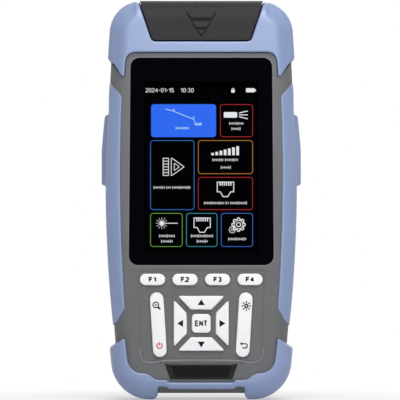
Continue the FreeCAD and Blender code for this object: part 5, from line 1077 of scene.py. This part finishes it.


# Painted highlight: the bead and the lip are painted brighter than the case grey, for the light their edges
# catch.
highlight_grey = finish("painted_highlight_grey", tuple(EDGE_HIGHLIGHT * c for c in CASE_GREY), 0.42, grain=0.45,
                     depth=0.02, drift=0.04)
half_round = circle(np.linspace(0, 180, 9))
bead_profile = half_round * (BEAD_RADIUS, BEAD_RISE) + (0, case_front - 0.02)
left_half = [(-26.6, 22.5), (-26.2, 18.0), (-24.6, 16.0), (-18.8, 15.9), (-17.2, 16.9)]
deck_path = left_half + [(-x, z) for x, z in reversed(left_half)]
bead = carried(eased(deck_path), bead_profile, FADE_STEPS)
sheet("deck_bead", [bead], "instrument", "case_grey", highlight_grey, 60)

window_front, (window_low, window_high) = front_of("display_window"), sizes_of("display_window")
low, high = window_low[2] - LIP_GAP, window_high[2] + LIP_GAP
glass = rounded(trapezoid(GLASS_LOW_HALF, low, GLASS_TOP_HALF, high), GLASS_CORNER, 11)
lip = stacked([upright(glass(inset), front) for inset, front in (
    (-LIP_WIDE, case_front - 0.01), (-LIP_WIDE / 2, case_front + 0.05), (0.0, case_front - 0.05),
    (0.12, window_front + 0.02), (0.2, window_front - LIP_DEEP))])
sheet("window_lip", [lip], "instrument", "case_grey", highlight_grey, 60)
print("The bead rises", BEAD_RISE, "mm")

# %% [markdown]
# The dark sheet of painted shade in the gap follows the flap's foot and both its sides. At the top
# the bumper turns away to the rear in a quarter circle, so the sheet is first laid out flat and then
# bent with it. Under the band a mere line of painted shadow runs from the tip of one horn of the
# rubber band to the other.

# %% Painted shade in the gap and under the band
FLAP_TOP, FLAP_RUN, FLAP_ROUND, GAP_MIDDLE = 171.6, 30, 1.6, 0.32
GAP_SHADE_HALF, GAP_SHADE_DEEP, GAP_SHADE_SUNK = 0.3, 2.2, 0.7
BAND_LOW, HORN_INNER, HORN_TIP_INNER, HORN_TIP_LOW, BAND_ROUND = 149.6, 32.3, 33.1, 139.3, 4.0
SHADOW_LINE_OFF, SHADOW_LINE_HALF, SHARP = 0.12, 0.16, 1e-3


def under_bumper(flat_grid):
    """The points of the gap's painted shade lie at a height and a depth under a flat front. Past the
    bend they turn back with the bumper's quarter circle and keep their depth under its skin."""
    past = np.clip(flat_grid[..., 2] - (rubber_top - BUMPER_ROUND), 0, BUMPER_ROUND)
    turn, sunk = np.arcsin(past / BUMPER_ROUND), flap_front + flat_grid[..., 1]
    bent = np.array(flat_grid)
    bent[..., 1] = -(flap_front - BUMPER_ROUND + (BUMPER_ROUND - sunk) * np.cos(turn))
    bent[..., 2] -= sunk * np.sin(turn)
    return bent


# Painted shade: a near-black blue for the sheet in the flap's gap and for the line under the band, where only
# shadow falls.
painted_shade_finish = finish("painted_dark_shade", (0.004, 0.005, 0.014), 0.7, grain=0.3, depth=0.005, shine=0.05)
flap = trapezoid(FLAP_FOOT_HALF, FLAP_FOOT, FLAP_FOOT_HALF + FLAP_SLANT * FLAP_RUN, FLAP_FOOT + FLAP_RUN)
foot_part = rounded(flap, [FLAP_ROUND, FLAP_ROUND, SHARP, SHARP], 9)(-GAP_MIDDLE)[:18]
rising = np.linspace(0.04, 1, 24)[:, None] * np.array((FLAP_SLANT, 1.0)) * (FLAP_TOP - foot_part[0][1])
gap_path = np.concatenate([(foot_part[0] + rising * (-1, 1))[::-1], foot_part, foot_part[-1] + rising])
gap_shade = under_bumper(carried(gap_path, groove(GAP_SHADE_HALF, flap_front - GAP_SHADE_DEEP, flap_front - GAP_SHADE_SUNK)))
sheet("flap_gap_shade", [gap_shade], "instrument", "rubber_blue", painted_shade_finish, 60)

band = trapezoid(HORN_TIP_INNER, HORN_TIP_LOW, HORN_INNER, BAND_LOW)
band_edge = closed(rounded(band, [SHARP, SHARP, BAND_ROUND, BAND_ROUND], 11)(SHADOW_LINE_OFF))
band_shadow = carried(band_edge[21:], groove(SHADOW_LINE_HALF, case_front - 0.1, case_front + 0.02))
sheet("band_shadow_line", [band_shadow], "instrument", "rubber_blue", painted_shade_finish, 60)
print("The seal bends with the bumper from", rubber_top - BUMPER_ROUND, "mm up")

# %% [markdown]
# Six screws hold the rear shell. Each has a flat head with a broken edge and a cross in it for the
# driver. All rings of a screw share their angles, so the ring at the cross can be a cross while the
# others are circles, and the same stack of rings makes the shank, the head and the recess.

# %% Case screws
HEAD_RADIUS, HEAD_TALL, HEAD_BREAK, SHANK_RADIUS = 2.2, 1.6, 0.25, 1.2
CROSS_LONG, CROSS_HALF, CROSS_DEEP, SCREW_STEPS = 1.3, 0.28, 0.9, 96
screw_low, screw_high = sizes_of("case_screws")
screw_end, head_face = screw_low[1], screw_high[1]
around = circle(np.arange(SCREW_STEPS) * 360 / SCREW_STEPS)
reach = np.abs(around) + 1e-6
cross = np.maximum(np.minimum(CROSS_LONG / reach[:, 0], CROSS_HALF / reach[:, 1]),
                   np.minimum(CROSS_HALF / reach[:, 0], CROSS_LONG / reach[:, 1]))
screw_rings = [(0.0, screw_end), (0.8, screw_end), (SHANK_RADIUS, screw_end + 0.5),
               (SHANK_RADIUS, head_face - HEAD_TALL), (HEAD_RADIUS, head_face - HEAD_TALL),
               (HEAD_RADIUS, head_face - HEAD_BREAK), (HEAD_RADIUS - HEAD_BREAK, head_face),
               (cross * 1.04, head_face), (cross, head_face - 0.05), (cross * 0.9, head_face - CROSS_DEEP),
               (0.0, head_face - CROSS_DEEP)]


def screw(*place):
    """Rings round a line from front to rear: each point is the place plus its radius times
    (cosine, sine) of its angle."""
    return stacked([upright(place + around * np.broadcast_to(radius, SCREW_STEPS)[:, None], -level)
                    for radius, level in screw_rings])


screw_places = [(x * side, z) for side in (1, -1) for x, z in ((29.0, 145.6), (31.3, 84.0), (27.6, 18.0))]
cross_screws = shell("cross_head_screws", [screw(*place) for place in screw_places], "instrument",
                     "screw_black", slot_finishes["screw_black"], 30)
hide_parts("case_screws")
print("Screw heads lie at", round(float(head_face), 2), "mm behind the middle")

# %% [markdown]
# The rubber's shoulder is lower than its bed in the case, so the case closes up to it there. A
# thin skin flush with the case's front fills the corner, and its lower edge runs under the rubber.

# %% Case front at the shoulders
SHOULDER_HIGH, SHOULDER_BED, UNDER_RUBBER, SKIN_DEEP, SKIN_LIFT = 11.9, 11.4, 0.4, 0.3, 0.02
across = np.linspace(18.4, 25.5, 36)
lower = BAND_HIGH + (SHOULDER_BED - BAND_HIGH) * shoulder_share(across) - UNDER_RUBBER
skins = []
for side in (1, -1):
    upper, under = (np.stack([side * across, np.broadcast_to(height, across.shape)], 1)
                    for height in (SHOULDER_HIGH, lower))
    skins.append(np.stack([upright(flat, case_front + level) for flat, level in (
        (upper, -SKIN_DEEP), (upper, SKIN_LIFT), (under, SKIN_LIFT), (under, -SKIN_DEEP))]))
sheet("case_shoulders", skins, "instrument", "case_grey", case_finish, 60)
print("Skins at the feet:", len(skins))

# %% [markdown]
# A plain room keeps the eye on the object. The floor is pale near the feet, where it keeps a soft
# shadow, and turns into plain white a hand's breadth out, so that no horizon shows behind. The
# world is white to the camera and in reflections, and gives less than a quarter of that as light.

# %% Floor and world
FLOOR_EDGE, FLOOR_LEVEL, FLOOR_NEAR, FLOOR_FAR, FLOOR_LEAST, AMBIENT = 2500.0, -0.2, 30.0, 150.0, 0.45, 0.22
flat = disc((0, 0), FLOOR_EDGE, 64)[:, ::-1]
ground = np.stack([flat[..., 0], flat[..., 1], np.full(flat.shape[:-1], FLOOR_LEVEL)], -1)
floor_mesh = mesh_of("floor", [ground])
floor = bpy.data.objects.new("floor", floor_mesh)
bpy.context.scene.collection.objects.link(floor)
floor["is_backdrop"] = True


def seen_ray(tree):
    """1 for rays from the eye, a mirror or through glass, and 0 for rays that carry light."""
    path = add_node(tree, "ShaderNodeLightPath").outputs
    eye_or_mirror = maths(tree, "MAXIMUM", path["Is Camera Ray"], path["Is Glossy Ray"])
    return maths(tree, "MAXIMUM", eye_or_mirror, path["Is Transmission Ray"])


floor_finish = finish("pale_floor", (0.82, 0.82, 0.82), 0.9, grain=1.0, depth=0.01, drift=0.01, patch=60,
                      shine=0.0)
tree = floor_finish.node_tree
place = add_node(tree, "ShaderNodeTexCoord").outputs["Object"]
reach = add_node(tree, "ShaderNodeVectorMath", operation="LENGTH", Vector=place).outputs["Value"]
white_share = scaled(tree, reach, FLOOR_LEAST, 1.0, From_Min=FLOOR_NEAR * MM, From_Max=FLOOR_FAR * MM)
white = add_node(tree, "ShaderNodeEmission", Color=(1, 1, 1, 1), Strength=1.0)
both = add_node(tree, "ShaderNodeMixShader", Fac=maths(tree, "MULTIPLY", white_share, seen_ray(tree)))
tree.links.new(tree.nodes["Principled BSDF"].outputs["BSDF"], both.inputs[1])
tree.links.new(white.outputs["Emission"], both.inputs[2])
fill_in(tree, tree.nodes["Material Output"], Surface=both.outputs["Shader"])
floor_mesh.materials.append(floor_finish)

world = bpy.data.worlds.new("pale_room")
bpy.context.scene.world = world
world.use_nodes = True
tree = world.node_tree
strength = scaled(tree, seen_ray(tree), AMBIENT, 1.0)
fill_in(tree, tree.nodes["Background"], Strength=strength, Color=(1, 1, 1, 1))
print("The floor fades to white between", FLOOR_NEAR, "and", FLOOR_FAR, "mm")

# %% [markdown]
# Large lamps close to a small object give soft edges and long highlights. One stands high in front,
# a broad one lower and farther away, a narrow one far at the right draws a bright line along the
# edges, and one behind lights the other side. The camera is far away behind a very long lens, as a
# catalogue picture is taken, so that near and far edges keep one scale.

# %% Lamps and camera
LENS, FILM, MARGIN, ASIDE, RAISED, HALF_DEEP = 600.0, 36.0, 0.2, -0.54, 0.05, 21.5
middle = Vector((0, 0, float(rubber_top) / 2 * MM))


def lamp(name, place, wide, tall, power):
    """A flat lamp, its sides and its place in mm, aimed at the middle of the object."""
    light = bpy.data.lights.new(name, "AREA")
    light.shape, light.size, light.size_y, light.energy = "RECTANGLE", wide * MM, tall * MM, power
    item = bpy.data.objects.new(name, light)
    item.location = Vector(place) * MM
    item.rotation_euler = (middle - item.location).to_track_quat("-Z", "Y").to_euler()
    bpy.context.scene.collection.objects.link(item)


lamp("key_lamp", (10, -280, 440), 260, 260, 1.2)
lamp("fill_lamp", (60, -640, 290), 340, 340, 1.1)
lamp("strip_lamp", (330, -430, 330), 50, 360, 0.3)
lamp("back_lamp", (100, 620, 420), 420, 420, 3.0)

view = bpy.data.cameras.new("front_camera")
view.lens, view.sensor_width = LENS, FILM
camera = bpy.data.objects.new("front_camera", view)
distance = (float(rubber_top) + MARGIN) * LENS / FILM
camera.location = (ASIDE * MM, -(distance + HALF_DEEP) * MM, middle.z + RAISED * MM)
camera.rotation_euler = (math.pi / 2, 0, 0)
bpy.context.scene.collection.objects.link(camera)
bpy.context.scene.camera = camera
bpy.context.scene.view_settings.view_transform = "Standard"
print("The camera stands", round(distance), "mm in front")

# %% [markdown]
# Last, the box of the dressed object is set beside the box of the bare frame, because dressing an
# instrument must not make it grow.

# %% Measure and finish
drawn_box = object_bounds()
plain = lambda box: [list(map(float, corner)) for corner in box]
{"cad": plain(cad_box), "drawn": plain(drawn_box)}
print("Bare", plain(cad_box), "dressed", plain(drawn_box))
